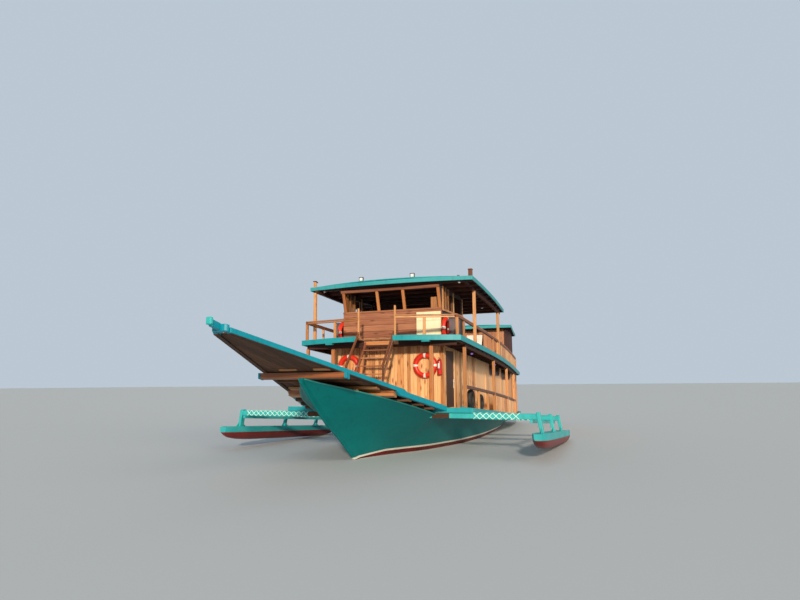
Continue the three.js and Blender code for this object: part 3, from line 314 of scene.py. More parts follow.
# Varnished meranti planks: red brown, close grained, half matt
REDWOOD = timber("varnished_red_planks", "#C48D66", "#9C6346", "#6E4029", 0.5, 0.1, 0.6)
# Planed posts under varnish: golden, fine grained
POST_WOOD = timber("pale_varnished_post_wood", "#DFA973", "#C18650", "#8E5A2E", 0.45, 0.15, 0.4)
# Teak, oiled and varnished: orange brown with a warm shine
TEAK = timber("varnished_teak_posts", "#D08D54", "#AE6A38", "#753D1B", 0.42, 0.25, 0.3)
# Stained handrails: dark brown, worn smooth
STAINED = timber("dark_stained_rail", "#8C5230", "#6F3F23", "#482513", 0.45, 0.1, 0.2)
# Oiled ceiling boards: dark stain with painted shade, nearly black brown, no shine
CEILING = timber("oiled_dark_ceiling_stain_and_painted_shade", "#592816", "#431D0F", "#281108", 0.7, 0.0, 0.2)
# Bare deck planks, walked on and washed: grey brown, matt, silvered in patches
DECKING = timber("worn_deck_planks", "#9C7E60", "#7F6247", "#574030", 0.7, 0.0, 0.4, "#A59784")
# Sawn bearers, never painted: rough, dark and matt. The same dark tone is painted shade on the platform's
# underside layer
UNDERSIDE = timber("rough_bearer_timber_and_painted_shade", "#72492A", "#503118", "#2B180B", 0.8, 0.0, 0.5)
# Varnished plywood: a flat pale face with hardly a knot
PLYWOOD = timber("varnished_plywood", "#F5C993", "#E9B47C", "#CB925E", 0.45, 0.2, 0.15)
# Stained door skins: dark, even and dull
DOOR_SKIN = timber("brown_door_skin", "#553A2B", "#432D20", "#2C1C13", 0.6, 0.0, 0.1)
# Moulded polyethylene: strong orange red with a waxy sheen and a faint pebble
RING_SHELL = plain("orange_polyethylene", "#E5311A", "#C92813", 0.38, 0.15, 0.0006, 0.006)
# Reflective tape: smooth cold white
TAPE = plain("white_reflective_tape", "#F2F0EA", "#DAD7CC", 0.3, 0.05)
# Laid rope, faded by the sun: matt and fuzzy
ROPE = plain("faded_orange_rope", "#C4583C", "#A84A34", 0.75, 0.03, 0.002, 0.006)
# Nylon fishing line in strands: pale green, dull
LASHING = plain("pale_green_nylon_line", "#D6FFF4", "#B4EBDD", 0.6, 0.05, 0.002, 0.006)
# Tyre rubber: soft black gone grey in places
RUBBER = plain("black_tyre_rubber", "#191817", "#2C2A28", 0.7, 0.06, 0.002, 0.004)
# Stainless steel, polished: bright, mirror-like
STEEL = plain("polished_stainless", "#C9CBCC", "#B2B5B8", 0.22, 0.05, Metallic=1.0)
# Injection-moulded ABS: clean white with a soft shine
WHITE_PLASTIC = plain("white_moulded_plastic", "#ECEBE6", "#DAD8D0", 0.35, 0.04)
# Painted plywood lockers: plain grey, half matt
LOCKER = plain("grey_locker_paint", "#6E6468", "#5A5256", 0.5, 0.2)
# Cast aluminium, powder coated and weathered: dull grey
LAMP_CASE = plain("grey_cast_aluminium", "#7E7B76", "#66635E", 0.45, 0.03, Metallic=0.6)
# Frosted glass: milky white, smooth
LAMP_GLASS = plain("frosted_lamp_glass", "#F4F6F4", "#E1E6E6", 0.2, 0.03)
# Tinted panes: black, with the dark room behind them painted in as shade, and a clean gleam
DARK_GLASS = plain("dark_tinted_glass", "#0D0B0A", "#17120F", 0.3, 0.6, Specular_IOR_Level=0.2)
# Panes with a white curtain behind them: bright, glossy, slightly clouded
CURTAIN = plain("white_curtained_pane", "#F6F5EF", "#DEDCD2", 0.25, 0.3)
# Painted panels: flat dark grey, with the shade under the roof painted in
SLATE = plain("dark_grey_panel", "#3C3234", "#2E2628", 0.6, 0.25)
# Cast bronze, kept bright by the water: golden with brown patches
BRONZE = plain("cast_bronze", "#A67C3C", "#7F6A38", 0.32, 0.08, Metallic=1.0)
# Coloured lamp lens, lit: glows violet
VIOLET = plain("violet_lamp_glass", "#B58BF2", "#8F63E0", 0.15, 0.02, Emission_Color=srgb("#A379FF"),
               Emission_Strength=0.9)
# Stoved enamel on a steel bottle: hard bright red
EXTINGUISHER_RED = plain("red_gloss_enamel", "#C5201A", "#A81813", 0.25, 0.05)


# The boat's curves, as the CAD has them

HOUSE_X, STATION, STERN_X = 3.5, 1.0, -11.5
DECK_Z, DECK_SLOPE, PLATFORM_SLOPE = 1.31, 0.07, 0.236
LEVELLING_X, LOWEST_X = -6.0, -10.0
HULL_BELOW_DECK, UPPER_RISE, CEILING_DROP = 0.2, 1.99, 0.15
HALF_BEAM, WIDEST_X, SIDE_CURVE = 2.53, 1.2, 7.6e-3
CABIN_FRONT_X, CABIN_AFT_X, CABIN_HALF, WALL = 2.75, -8.0, 1.8, 0.045
GAP = 0.0003


def on_stations(curve):
    """A curve made straight between the boat's stations."""
    def at(x):
        start = HOUSE_X + math.floor((x - HOUSE_X) / STATION) * STATION
        share = (x - start) / STATION
        return curve(start) * (1 - share) + curve(start + STATION) * share
    return at


@on_stations
def fall(x):
    """A deck's height against the front of the house: it falls aft and levels out at the stern."""
    if x >= LEVELLING_X:
        return DECK_SLOPE * (x - HOUSE_X)
    levelling = LEVELLING_X - LOWEST_X
    lowest = DECK_SLOPE * (LEVELLING_X - HOUSE_X - levelling / 2)
    return lowest + DECK_SLOPE / (2 * levelling) * (x - LOWEST_X) ** 2


@on_stations
def main_top(x):
    """The main deck's top, which climbs forward of the house as the bow platform."""
    return DECK_Z + (PLATFORM_SLOPE * (x - HOUSE_X) if x > HOUSE_X else fall(x))


@on_stations
def half_upper(x):
    """Half the upper deck's width, full forward of its widest place and narrower aft of it."""
    return HALF_BEAM - SIDE_CURVE * min(0, x - WIDEST_X) ** 2


def upper_top(x):
    return DECK_Z + UPPER_RISE + fall(x)


def moved(curve, by):
    """A curve of x raised or widened by a fixed amount."""
    return lambda x: curve(x) + by


def beside(line, near, far, s=1):
    """Two curves that run near and far off a line, on the side s of the boat."""
    return lambda x: s * (line(x) + near), lambda x: s * (line(x) + far)


def across(half, by):
    """Two curves, to starboard and to port, each half and by off the middle."""
    return lambda x: -(half(x) + by), lambda x: half(x) + by


def value_at(value, x):
    """A number, or a curve's value at x."""
    return value(x) if callable(value) else value


half_main = moved(half_upper, -0.04)
upper_ceiling = moved(upper_top, -CEILING_DROP)
hull_top = moved(main_top, -HULL_BELOW_DECK)


def stations(x0, x1):
    """The places between x0 and x1 where the boat's curves bend, with both ends."""
    low, high = min(x0, x1), max(x0, x1)
    first = HOUSE_X + math.ceil((low + 0.001 - HOUSE_X) / STATION) * STATION
    return [low, *np.arange(first, high - 0.001, STATION), high]


def smooth_row(table, x):
    """The row of a table at x, on a smooth curve through its rows. Rows go toward the stern."""
    rows = np.array(table)
    i = int(np.clip(np.searchsorted(-rows[:, 0], -x, side="right") - 1, 0, len(rows) - 2))

    def slope(j):
        low, high = max(0, j - 1), min(len(rows) - 1, j + 1)
        return (rows[high, 1:] - rows[low, 1:]) / (rows[high, 0] - rows[low, 0])
    a, b = rows[i], rows[i + 1]
    step = b[0] - a[0]
    t = (x - a[0]) / step
    return ((2 * t ** 3 - 3 * t ** 2 + 1) * a[1:] + (t ** 3 - 2 * t ** 2 + t) * step * slope(i)
            + (3 * t ** 2 - 2 * t ** 3) * b[1:] + (t ** 3 - t ** 2) * step * slope(i + 1))


# Joinery: the timbers of one piece

class Joinery:
    """Collects closed solids, and makes one mesh object of them."""

    def __init__(self):
        self.points, self.faces = [], []

    def loft(self, sections, ring=False):
        """A solid through loops of equal point counts; a ring joins its last loop to its first."""
        count, first, loops = len(sections[0]), len(self.points), len(sections)
        for section in sections:
            self.points += [tuple(map(float, point)) for point in section]
        for s in range(loops if ring else loops - 1):
            for i in range(count):
                a, b = first + s * count + i, first + s * count + (i + 1) % count
                c = first + (s + 1) % loops * count + (i + 1) % count
                d = first + (s + 1) % loops * count + i
                self.faces.append((a, b, c, d))
        if not ring:
            last = first + (loops - 1) * count
            self.faces.append(tuple(first + i for i in range(count)))
            self.faces.append(tuple(last + i for i in reversed(range(count))))
        return self

    def run(self, x0, x1, y0, y1, z0, z1, bends=()):
        """A bar of rectangular section along X, between numbers or curves of x that may bend more."""
        return self.loft([[
            (x, value_at(y0, x), value_at(z0, x)), (x, value_at(y1, x), value_at(z0, x)),
            (x, value_at(y1, x), value_at(z1, x)), (x, value_at(y0, x), value_at(z1, x)),
        ] for x in sorted({*map(float, stations(x0, x1)), *bends})])

    def upright(self, x, y, wide_x, wide_y, z0, z1):
        """A post, square to the deck's fall at both ends."""
        middle = value_at(y, x)
        return self.run(x - wide_x / 2, x + wide_x / 2, middle - wide_y / 2, middle + wide_y / 2, z0, z1)

    def block(self, x0, x1, y0, y1, z0, z1):
        return self.loft([[(x, y0, z0), (x, y1, z0), (x, y1, z1), (x, y0, z1)] for x in (x0, x1)])

    def bar(self, start, end, wide, high):
        """A straight bar; wide is level and high is square to it."""
        start, end = Vector(start), Vector(end)
        along = (end - start).normalized()
        level = Vector((0, 0, 1)).cross(along)
        level = level.normalized() if level.length > 1e-6 else Vector((0, 1, 0))
        up = along.cross(level)
        corners = ((-1, -1), (1, -1), (1, 1), (-1, 1))
        return self.loft([[end_point + level * (a * wide / 2) + up * (b * high / 2) for a, b in corners]
                          for end_point in (start, end)])

    def slab(self, outline, y0, y1):
        """An outline of (x, z) points given a thickness across the boat."""
        return self.loft([[(x, y, z) for x, z in outline] for y in (y0, y1)])

    def lathe(self, profile, centre, axis="z", sides=24):
        """A turned solid: (radius, height) points up from a centre, along an axis."""
        centre = Vector(centre)
        turns = [2 * math.pi * i / sides for i in range(sides)]
        places = {"z": lambda r, h, a: (r * math.cos(a), r * math.sin(a), h),
                  "y": lambda r, h, a: (r * math.sin(a), h, r * math.cos(a)),
                  "x": lambda r, h, a: (h, r * math.cos(a), r * math.sin(a))}
        return self.loft([[centre + Vector(places[axis](r, h, a)) for a in turns] for r, h in profile])

    def hoop(self, centre, axis, radius, tube, start=0.0, sweep=360.0, steps=64, sides=20, flat=0.86):
        """A ring, or part of one, whose section is flat times as deep as it is wide."""
        centre = Vector(centre)
        whole = sweep >= 360
        axle = {"x": Vector((1, 0, 0)), "y": Vector((0, 1, 0)), "z": Vector((0, 0, 1))}[axis]
        side = {"x": Vector((0, 1, 0)), "y": Vector((0, 0, 1)), "z": Vector((1, 0, 0))}[axis]
        up = axle.cross(side)
        sections = []
        turns = [2 * math.pi * i / sides for i in range(sides)]
        for s in range(steps if whole else steps + 1):
            angle = math.radians(start + sweep * s / steps)
            out = side * math.cos(angle) + up * math.sin(angle)
            sections.append([centre + out * (radius + tube * math.cos(turn))
                             + axle * (tube * flat * math.sin(turn)) for turn in turns])
        return self.loft(sections, whole)

    def plank(self, y0, y1, top, thick, ends):
        """A lengthwise plank under a curve, through pairs of x at its two edges."""
        return self.loft([[(a, y0, top(a) - thick), (b, y1, top(b) - thick), (b, y1, top(b)), (a, y0, top(a))]
                          for a, b in ends])

    def build(self, name):
        """One mesh object of all the solids."""
        mesh = bpy.data.meshes.new(name)
        mesh.from_pydata(self.points, [], self.faces)
        work = bmesh.new()
        work.from_mesh(mesh)
        bmesh.ops.remove_doubles(work, verts=work.verts, dist=1e-6)
        bmesh.ops.recalc_face_normals(work, faces=work.faces)
        work.to_mesh(mesh)
        work.free()
        piece = bpy.data.objects.new(name, mesh)
        scene.collection.objects.link(piece)
        return piece


def settle(piece):
    """Applies a piece's modifiers to its mesh."""
    mesh = bpy.data.meshes.new_from_object(piece.evaluated_get(bpy.context.evaluated_depsgraph_get()))
    piece.modifiers.clear()
    piece.data = mesh
    return piece


def solids_of(mesh):
    """For each vertex, the number of the separate solid that it belongs to."""
    pairs = np.empty(len(mesh.edges) * 2, np.int32)
    mesh.edges.foreach_get("vertices", pairs)
    a, b = pairs.reshape(-1, 2).T
    label = np.arange(len(mesh.vertices))
    while True:
        before = label.copy()
        low = np.minimum(label[a], label[b])
        np.minimum.at(label, a, low)
        np.minimum.at(label, b, low)
        label = label[label]
        if (label == before).all():
            return np.unique(label, return_inverse=True)[1]


def mark_grain(mesh):
    """Stores each timber's own grain direction and tone, for the timber finishes."""
    places = np.empty(len(mesh.vertices) * 3)
    mesh.vertices.foreach_get("co", places)
    places = places.reshape(-1, 3)
    group = solids_of(mesh)
    order = np.argsort(group, kind="stable")
    ends = np.flatnonzero(np.diff(group[order])) + 1
    grain, tone = np.empty_like(places), np.empty(len(places))
    for members in np.split(order, ends):
        local = places[members] - places[members].mean(0)
        axes = np.linalg.eigh(local.T @ local)[1][:, ::-1]
        axes = axes * np.sign(axes[np.abs(axes).argmax(0), range(3)])
        grain[members] = local @ axes + [dice.uniform(0, 40) for _ in range(3)]
        tone[members] = dice.random()
    for name, kind, field, values in (("grain", "FLOAT_VECTOR", "vector", grain),
                                      ("tone", "FLOAT", "value", tone)):
        stored = mesh.attributes.new(name, kind, "POINT")
        stored.data.foreach_set(field, values.ravel())


def fit(piece, finish, body="boat", stands_for=None, bevel=0.0, round_below=None):
    """Softens a piece's edges, marks its grain, gives it its finish and puts it on its body."""
    if bevel:
        softened = piece.modifiers.new("bevel", "BEVEL")
        softened.width, softened.segments = bevel, 1
        softened.limit_method, softened.angle_limit = "ANGLE", math.radians(40)
        settle(piece)
    mesh = piece.data
    mesh.shade_flat()
    if round_below is not None:
        mesh.shade_smooth()
        mesh.set_sharp_from_angle(angle=math.radians(round_below))
    mark_grain(mesh)
    mesh.materials.clear()
    mesh.materials.append(finish)
    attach(piece, body)
    if stands_for:
        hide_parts(stands_for)
    return piece


def refinish(name, finish):
    """Gives its finish to a solid that is seen as the CAD has it."""
    nodes[name].data.materials.clear()
    nodes[name].data.materials.append(finish)


def cut_out(piece, cutters):
    """Cuts the solids of one Joinery out of a piece."""
    tool = cutters.build(piece.name + "_cutter")
    opening = piece.modifiers.new("opening", "BOOLEAN")
    opening.object, opening.operation, opening.solver = tool, "DIFFERENCE", "EXACT"
    settle(piece)
    bpy.data.objects.remove(tool)
    return piece


# Geometry Nodes for what repeats

def new_tree(name, sockets):
    """An empty tree with named inputs, its start and its end."""
    tree = bpy.data.node_groups.new(name, "GeometryNodeTree")
    tree.interface.new_socket("Guide", in_out="INPUT", socket_type="NodeSocketGeometry")
    for label, kind, value in sockets:
        made = tree.interface.new_socket(label, in_out="INPUT", socket_type=kind)
        if value is not None:
            made.default_value = value
    tree.interface.new_socket("Geometry", in_out="OUTPUT", socket_type="NodeSocketGeometry")
    return tree, tree.nodes.new("NodeGroupInput").outputs, tree.nodes.new("NodeGroupOutput")


def close_tree(tree, end, geometry, finish):
    """Ends a tree in plain mesh with its material."""
    solid = add(tree, "GeometryNodeRealizeInstances", {"Geometry": geometry})
    painted = add(tree, "GeometryNodeSetMaterial", {"Geometry": solid, "Material": finish})
    wire(tree, end, {"Geometry": painted})
    return tree


def board_row_tree():
    """Boards side by side along a guide, each turned to it, and each as long as the guide's reach."""
    tree, start, end = new_tree("boards along a line", [
        ("Count", "NodeSocketInt", 10), ("Board size", "NodeSocketVector", (0.1, 0.1, 1.0)),
        ("Unevenness", "NodeSocketVector", (0.0, 0.0, 0.0)), ("Seed", "NodeSocketInt", 1),
        ("Finish", "NodeSocketMaterial", None)])
    line = add(tree, "GeometryNodeMeshToCurve", {"Mesh": start["Guide"]})
    places = add(tree, "GeometryNodeResampleCurve", {"Curve": line, "Count": start["Count"]}, mode="COUNT")
    tangent = add(tree, "GeometryNodeInputTangent")
    level = add(tree, "ShaderNodeVectorMath", {0: tangent, 1: (1.0, 1.0, 0.0)}, operation="MULTIPLY")
    turn = add(tree, "FunctionNodeAlignRotationToVector", {"Vector": level}, axis="X")
    reach = add(tree, "GeometryNodeInputNamedAttribute", {"Name": "reach"}, data_type="FLOAT").outputs
    length = add(tree, "GeometryNodeSwitch", {
        "Switch": reach["Exists"], "False": 1.0, "True": reach["Attribute"]}, input_type="FLOAT")
    scale = add(tree, "ShaderNodeCombineXYZ", {"X": 1.0, "Y": length, "Z": 1.0})
    board = add(tree, "GeometryNodeMeshCube", {"Size": start["Board size"]})
    row = add(tree, "GeometryNodeInstanceOnPoints", {
        "Points": places, "Instance": board, "Rotation": turn, "Scale": scale})
    least = add(tree, "ShaderNodeVectorMath", {0: start["Unevenness"], "Scale": -1.0}, operation="SCALE")
    shift = add(tree, "FunctionNodeRandomValue", {
        0: least, 1: start["Unevenness"], "Seed": start["Seed"]}, data_type="FLOAT_VECTOR")
    uneven = add(tree, "GeometryNodeTranslateInstances", {"Instances": row, "Translation": shift})
    return close_tree(tree, end, uneven, start["Finish"])


def lashing_tree():
    """Two pairs of lines wound the opposite ways round a square boom that lies across the boat."""
    tree, start, end = new_tree("crossed lashing round a boom", [
        ("Turns", "NodeSocketFloat", 6.0), ("Half width", "NodeSocketFloat", 0.08),
        ("Line radius", "NodeSocketFloat", 0.008), ("Points", "NodeSocketInt", 200),
        ("Finish", "NodeSocketMaterial", None)])

    def worked(operation, *values):
        return add(tree, "ShaderNodeMath", dict(enumerate(values)), operation=operation)
    line = add(tree, "GeometryNodeMeshToCurve", {"Mesh": start["Guide"]})
    fine = add(tree, "GeometryNodeResampleCurve", {"Curve": line, "Count": start["Points"]}, mode="COUNT")
    along = add(tree, "GeometryNodeSplineParameter").outputs["Factor"]
    section = add(tree, "GeometryNodeCurvePrimitiveCircle", {"Resolution": 6, "Radius": start["Line radius"]})
    both = add(tree, "GeometryNodeJoinGeometry")
    for hand, began in ((1.0, 0.0), (1.0, 0.5), (-1.0, 0.0), (-1.0, 0.5)):
        turned = worked("MULTIPLY_ADD", worked("MULTIPLY", along, start["Turns"]), hand, began)
        upward = worked("MULTIPLY_ADD", worked("PINGPONG", turned, 0.5), 4.0, -1.0)
        # A sine made nine times too high and cut off lies flat on the boom's two sides
        sideways = worked("MULTIPLY", worked("SINE", worked("MULTIPLY", turned, 2 * math.pi)), 9.0)
        sideways = worked("MAXIMUM", worked("MINIMUM", sideways, 1.0), -1.0)
        offset = add(tree, "ShaderNodeCombineXYZ", {
            "X": worked("MULTIPLY", sideways, start["Half width"]),
            "Z": worked("MULTIPLY", upward, start["Half width"])})
        wound = add(tree, "GeometryNodeSetPosition", {"Geometry": fine, "Offset": offset})
        wire(tree, both, {"Geometry": add(tree, "GeometryNodeCurveToMesh", {
            "Curve": wound, "Profile Curve": section, "Fill Caps": True})})
    return close_tree(tree, end, both, start["Finish"])


def tube_tree():
    """A round line or tube along a guide."""
    tree, start, end = new_tree("tube along a path", [
        ("Radius", "NodeSocketFloat", 0.01), ("Sides", "NodeSocketInt", 8),
        ("Finish", "NodeSocketMaterial", None)])
    line = add(tree, "GeometryNodeMeshToCurve", {"Mesh": start["Guide"]})
    section = add(tree, "GeometryNodeCurvePrimitiveCircle", {
        "Resolution": start["Sides"], "Radius": start["Radius"]})
    tube = add(tree, "GeometryNodeCurveToMesh", {"Curve": line, "Profile Curve": section, "Fill Caps": True})
    return close_tree(tree, end, tube, start["Finish"])


BOARD_ROW, LASHED, TUBE = board_row_tree(), lashing_tree(), tube_tree()


def grow(name, tree, guide, values, reach=None, closed=False):
    """A plain mesh object grown by a tree from a line through points."""
    mesh = bpy.data.meshes.new(name)
    count = len(guide)
    links = [(i, i + 1) for i in range(count - 1)]
    if closed:
        links.append((count - 1, 0))
    mesh.from_pydata([tuple(map(float, point)) for point in guide], links, [])
    if reach is not None:
        mesh.attributes.new("reach", "FLOAT", "POINT").data.foreach_set("value", reach)
    piece = bpy.data.objects.new(name, mesh)
    scene.collection.objects.link(piece)
    grown = piece.modifiers.new("grown", "NODES")
    grown.node_group = tree
    for socket in tree.interface.items_tree:
        if socket.item_type == "SOCKET" and socket.in_out == "INPUT" and socket.name in values:
            grown[socket.identifier] = values[socket.name]
    return settle(piece)


BOARD_UNEVEN = 0.003        # how far a board may stand out of its row
BEAM_SPACING = 0.6          # between the beams under a deck or roof


def board_wall(name, start, end, height, board, finish, seed):
    """Upright boards side by side between two points at their middle height."""
    start, end = Vector(start), Vector(end)
    count = max(1, round((end - start).length / board))
    half = (end - start) / (2 * count)
    width = 2 * half.length
    return grow(name, BOARD_ROW, [start + half, end - half], {
        "Count": count, "Board size": (width - 0.005, WALL, height), "Unevenness": (0.0, BOARD_UNEVEN, 0.0),
        "Seed": seed, "Finish": finish})


def cross_wall(name, x, half, low, high, board, finish, seed):
    """A wall of upright boards across the boat, between two heights."""
    middle = (low + high) / 2
    return board_wall(name, (x, -half, middle), (x, half, middle), high - low, board, finish, seed)


def cut_doorway(wall, x, half, foot, head):
    """Cuts a doorway in the middle of a wall across the boat."""
    cut_out(wall, Joinery().block(x - 0.2, x + 0.2, -half, half, foot, head))


def board_stack(name, middle, length, thick, low, high, board, finish, seed):
    """Level boards on edge, one above the other, across the boat."""
    count = max(1, round((high - low) / board))
    width = (high - low) / count
    return grow(name, BOARD_ROW, [(*middle, low + width / 2), (*middle, high - width / 2)], {
        "Count": count, "Board size": (thick, length, width - 0.004), "Unevenness": (BOARD_UNEVEN, 0.0, 0.0),
        "Seed": seed, "Finish": finish})


def cross_row(name, x0, x1, half, height, wide, deep, finish):
    """Level beams right across the boat; height is of their middle."""
    count = max(2, round((x1 - x0) / BEAM_SPACING) + 1)
    xs = np.linspace(x0, x1, 40)
    return grow(name, BOARD_ROW, [(x, 0, height(x)) for x in xs], {
        "Count": count, "Board size": (wide, 2.0, deep), "Finish": finish}, reach=[half(x) for x in xs])


def rail_boards(name, line, deck, x0, x1, wide, uneven, seed):
    """Upright boards, nearly touching, behind a side rail."""
    guide = [(x, line(x), deck(x) + 0.29) for x in np.linspace(x0, x1, 29)]
    boards = grow(name, BOARD_ROW, guide, {
        "Count": len(guide), "Board size": (wide, 0.024, 0.56), "Unevenness": (uneven, 0.003, 0.004),
        "Seed": seed, "Finish": HONEY})
    fit(boards, HONEY, bevel=0.004)


def deck_boards(half, front, aft, top, thick, board, nose=0.0, notch=None):
    """Lengthwise boards cut to the deck's outline; nose is how far its front edge swells forward."""
    made = Joinery()
    widest = half(min(front, WIDEST_X))
    count = round(2 * widest / board)
    edge = 2 * widest / count

    def aft_end(y):
        low, high = aft, min(front, WIDEST_X)
        if half(aft) >= abs(y):
            return aft
        for _ in range(30):
            middle = (low + high) / 2
            low, high = (low, middle) if half(middle) >= abs(y) else (middle, high)
        return high

    def front_end(y):
        if notch and notch[0] < y < notch[1]:
            return notch[2]
        return front + nose * (1 - min(1.0, (y / half(front)) ** 2))
    for i in range(count):
        y0, y1 = -widest + i * edge + 0.002, -widest + (i + 1) * edge - 0.002
        back, ahead = (aft_end(y0), aft_end(y1)), (front_end(y0), front_end(y1))
        if notch and notch[0] < (y0 + y1) / 2 < notch[1]:
            ahead = (notch[2], notch[2])
        inner = stations(max(back) + 0.05, min(ahead) - 0.05)
        made.plank(y0, y1, top, thick, [back, *((x, x) for x in inner), ahead])
    return made


# Hull

HULL_TABLE = [  # x, half width at the top, keel height, fullness
    (7.78, 0.06, 2.05, 1.0), (7.25, 0.33, 1.58, 1.15), (6.6, 0.74, 1.07, 1.2), (5.8, 1.17, 0.57, 1.3),
    (5.0, 1.48, 0.0, 1.5), (4.3, 1.70, -0.42, 1.65), (3.5, 1.86, -0.76, 1.6), (2.5, 1.94, -0.93, 1.05),
    (1.3, 1.96, -0.98, 0.72), (0.0, 1.97, -1.0, 0.5), (-2.2, 1.95, -1.0, 0.42), (-4.3, 1.85, -0.98, 0.55),
    (-6.0, 1.70, -0.90, 0.7), (-8.0, 1.43, -0.70, 1.1), (-9.7, 1.15, -0.35, 1.5), (-10.9, 0.95, 0.06, 1.0)]
KEEL_HALF, STRAKES, SHAFT_Z = 0.05, 13, -0.86


def hull_side(x):
    """Points of the port side at x, from the keel to the top."""
    half, keel, fullness = smooth_row(HULL_TABLE, x)
    shares = np.linspace(0, 1, 25) ** 1.4
    return [(max(KEEL_HALF, half * t ** fullness), keel + (hull_top(x) - GAP - keel) * t) for t in shares]


def build_hull():
    """The planked shell, the keel with the rudder's heel, the stem post and the gunwale."""
    xs = sorted({*np.linspace(-10.9, 7.78, 110), HOUSE_X})
    sections, strakes = [], []
    for x in xs:
        side = hull_side(x)
        steps = [0.0] + [math.dist(a, b) for a, b in zip(side, side[1:])]
        share = np.cumsum(steps) / sum(steps) * STRAKES
        sections.append([(x, -y, z) for y, z in reversed(side)] + [(x, y, z) for y, z in side])
        strakes += [*share[::-1], *share]
    made = Joinery().loft(sections)
    shell = made.build("hull_shell")
    stored = shell.data.attributes.new("strake", "FLOAT", "POINT")
    stored.data.foreach_set("value", np.array(strakes, np.float32))
    fit(shell, HULL_PAINT, stands_for="hull", round_below=30)

    keel = Joinery()
    keel.slab([(4.8, 0.06), (4.3, -0.52), (3.5, -0.9), (2.5, -1.09), (1.3, -1.15), (-8.5, -1.21),
               (-9.38, -1.25), (-9.38, -1.17), (-8.65, -1.14), (-8.56, -1.0), (-8.56, -0.3), (0, -0.5)],
              -KEEL_HALF, KEEL_HALF)
    keel.lathe([(0.04, -0.13), (0.08, -0.13), (0.095, -0.08), (0.095, 0.13), (0.04, 0.13)],
               (-8.6, 0, SHAFT_Z), "x")
    keel.lathe([(0.035, -0.04), (0.075, -0.04), (0.075, 0.035), (0.035, 0.04)], (-9.3, 0, -1.2125))
    fit(keel.build("keel_and_heel"), HULL_PAINT, bevel=0.008)

    stem = Joinery()
    line = [(7.79, 2.085), (7.78, 2.03), (7.25, 1.56), (6.6, 1.05), (5.8, 0.55), (5.0, -0.02), (4.6, -0.26)]
    stem.loft([[(x - 0.10, -0.056, z - 0.02), (x + 0.016, -0.024, z - 0.026), (x + 0.016, 0.024, z - 0.026),
                (x - 0.10, 0.056, z - 0.02), (x - 0.10, 0.056, z + 0.03), (x - 0.10, -0.056, z + 0.03)]
               for x, z in line])
    fit(stem.build("stem_post"), HULL_PAINT, bevel=0.006)

    cap = Joinery()
    for _, s in SIDES:
        rows = []
        for x in np.linspace(-10.85, 7.74, 60):
            half = smooth_row(HULL_TABLE, x)[0]
            z = hull_top(x)
            rows.append([(x, s * (half - 0.05), z - 0.035), (x, s * (half + 0.012), z - 0.035),
                         (x, s * (half + 0.012), z - 0.002), (x, s * (half - 0.05), z - 0.002)])
        cap.loft(rows)
    fit(cap.build("gunwale_cap"), CAP_PAINT, bevel=0.006)


build_hull()
refinish("propeller", BRONZE)
refinish("rudder", HULL_PAINT)


# Main deck

def build_main_deck():
    """Planks on cross beams, with a guard board round the edge."""
    boards = deck_boards(half_main, HOUSE_X, STERN_X, main_top, 0.04, 0.14)
    fit(boards.build("main_deck_boards"), DECKING, stands_for="main_deck", bevel=0.003)
    beams = cross_row("main_deck_beams", STERN_X + 0.2, HOUSE_X - 0.3, moved(half_main, -0.06),
                      moved(main_top, -0.12), 0.08, 0.15, UNDERSIDE)
    fit(beams, UNDERSIDE, bevel=0.006)
    guard = Joinery()
    for _, s in SIDES:
        guard.run(STERN_X - 0.06, HOUSE_X, *beside(half_main, GAP, 0.06, s), *beside(main_top, -0.11, 0.025))
    width = half_main(STERN_X) + 0.055
    guard.run(STERN_X - 0.06, STERN_X - GAP, -width, width, *beside(main_top, -0.11, 0.025))
    fit(guard.build("deck_guard_board"), TRIM_PAINT, stands_for="deck_guard", bevel=0.008)


build_main_deck()


# Bow platform

TIP_X, PLATFORM_AFT, FLARE, BEAM_WIDE = 10.6, 3.73, 0.288, 0.11
BOARDS_END = TIP_X - 0.12


def beam_outer(x):
    return 0.206 + FLARE * (TIP_X - x)


def inside(x):
    """Half the clear width between the side beams."""
    return beam_outer(x) - BEAM_WIDE - 0.004


def build_side_beams():
    """Each side beam is two lengths, scarfed one above the other where the platform starts to narrow."""
    scarf_low = lambda x: main_top(x) + np.interp(x, (5.70, 5.85), (-0.145, -0.07))
    scarf_high = lambda x: main_top(x) + np.interp(x, (5.43, 5.56), (-0.005, 0.045))
    under_beam = lambda x: main_top(x) + np.interp(x, (5.85, 5.86), (-0.07, -0.059))
    for side, s in SIDES:
        beam = Joinery().run(5.43, TIP_X, *beside(beam_outer, -BEAM_WIDE, 0.0, s),
                             under_beam, scarf_high, (5.56,))
        beam.run(PLATFORM_AFT, 5.85, *beside(beam_outer, 0.002 - BEAM_WIDE, -0.002, s), scarf_low,
                 moved(main_top, -0.005), (5.70,))
        fit(beam.build(f"platform_side_{side}"), BEAM_PAINT, stands_for=f"platform_beam_{side}",
            bevel=0.01)
        bare = Joinery().run(5.86, TIP_X - 0.03, *beside(beam_outer, -BEAM_WIDE - 0.003, -0.001, s),
                             *beside(main_top, -0.071, -0.058))
        bare.run(5.86, TIP_X - 0.03, *beside(beam_outer, -BEAM_WIDE - 0.003, 0.01 - BEAM_WIDE, s),
                 *beside(main_top, -0.06, -0.046))
        fit(bare.build(f"platform_side_{side}_bare_faces"), UNDERSIDE, bevel=0.002)


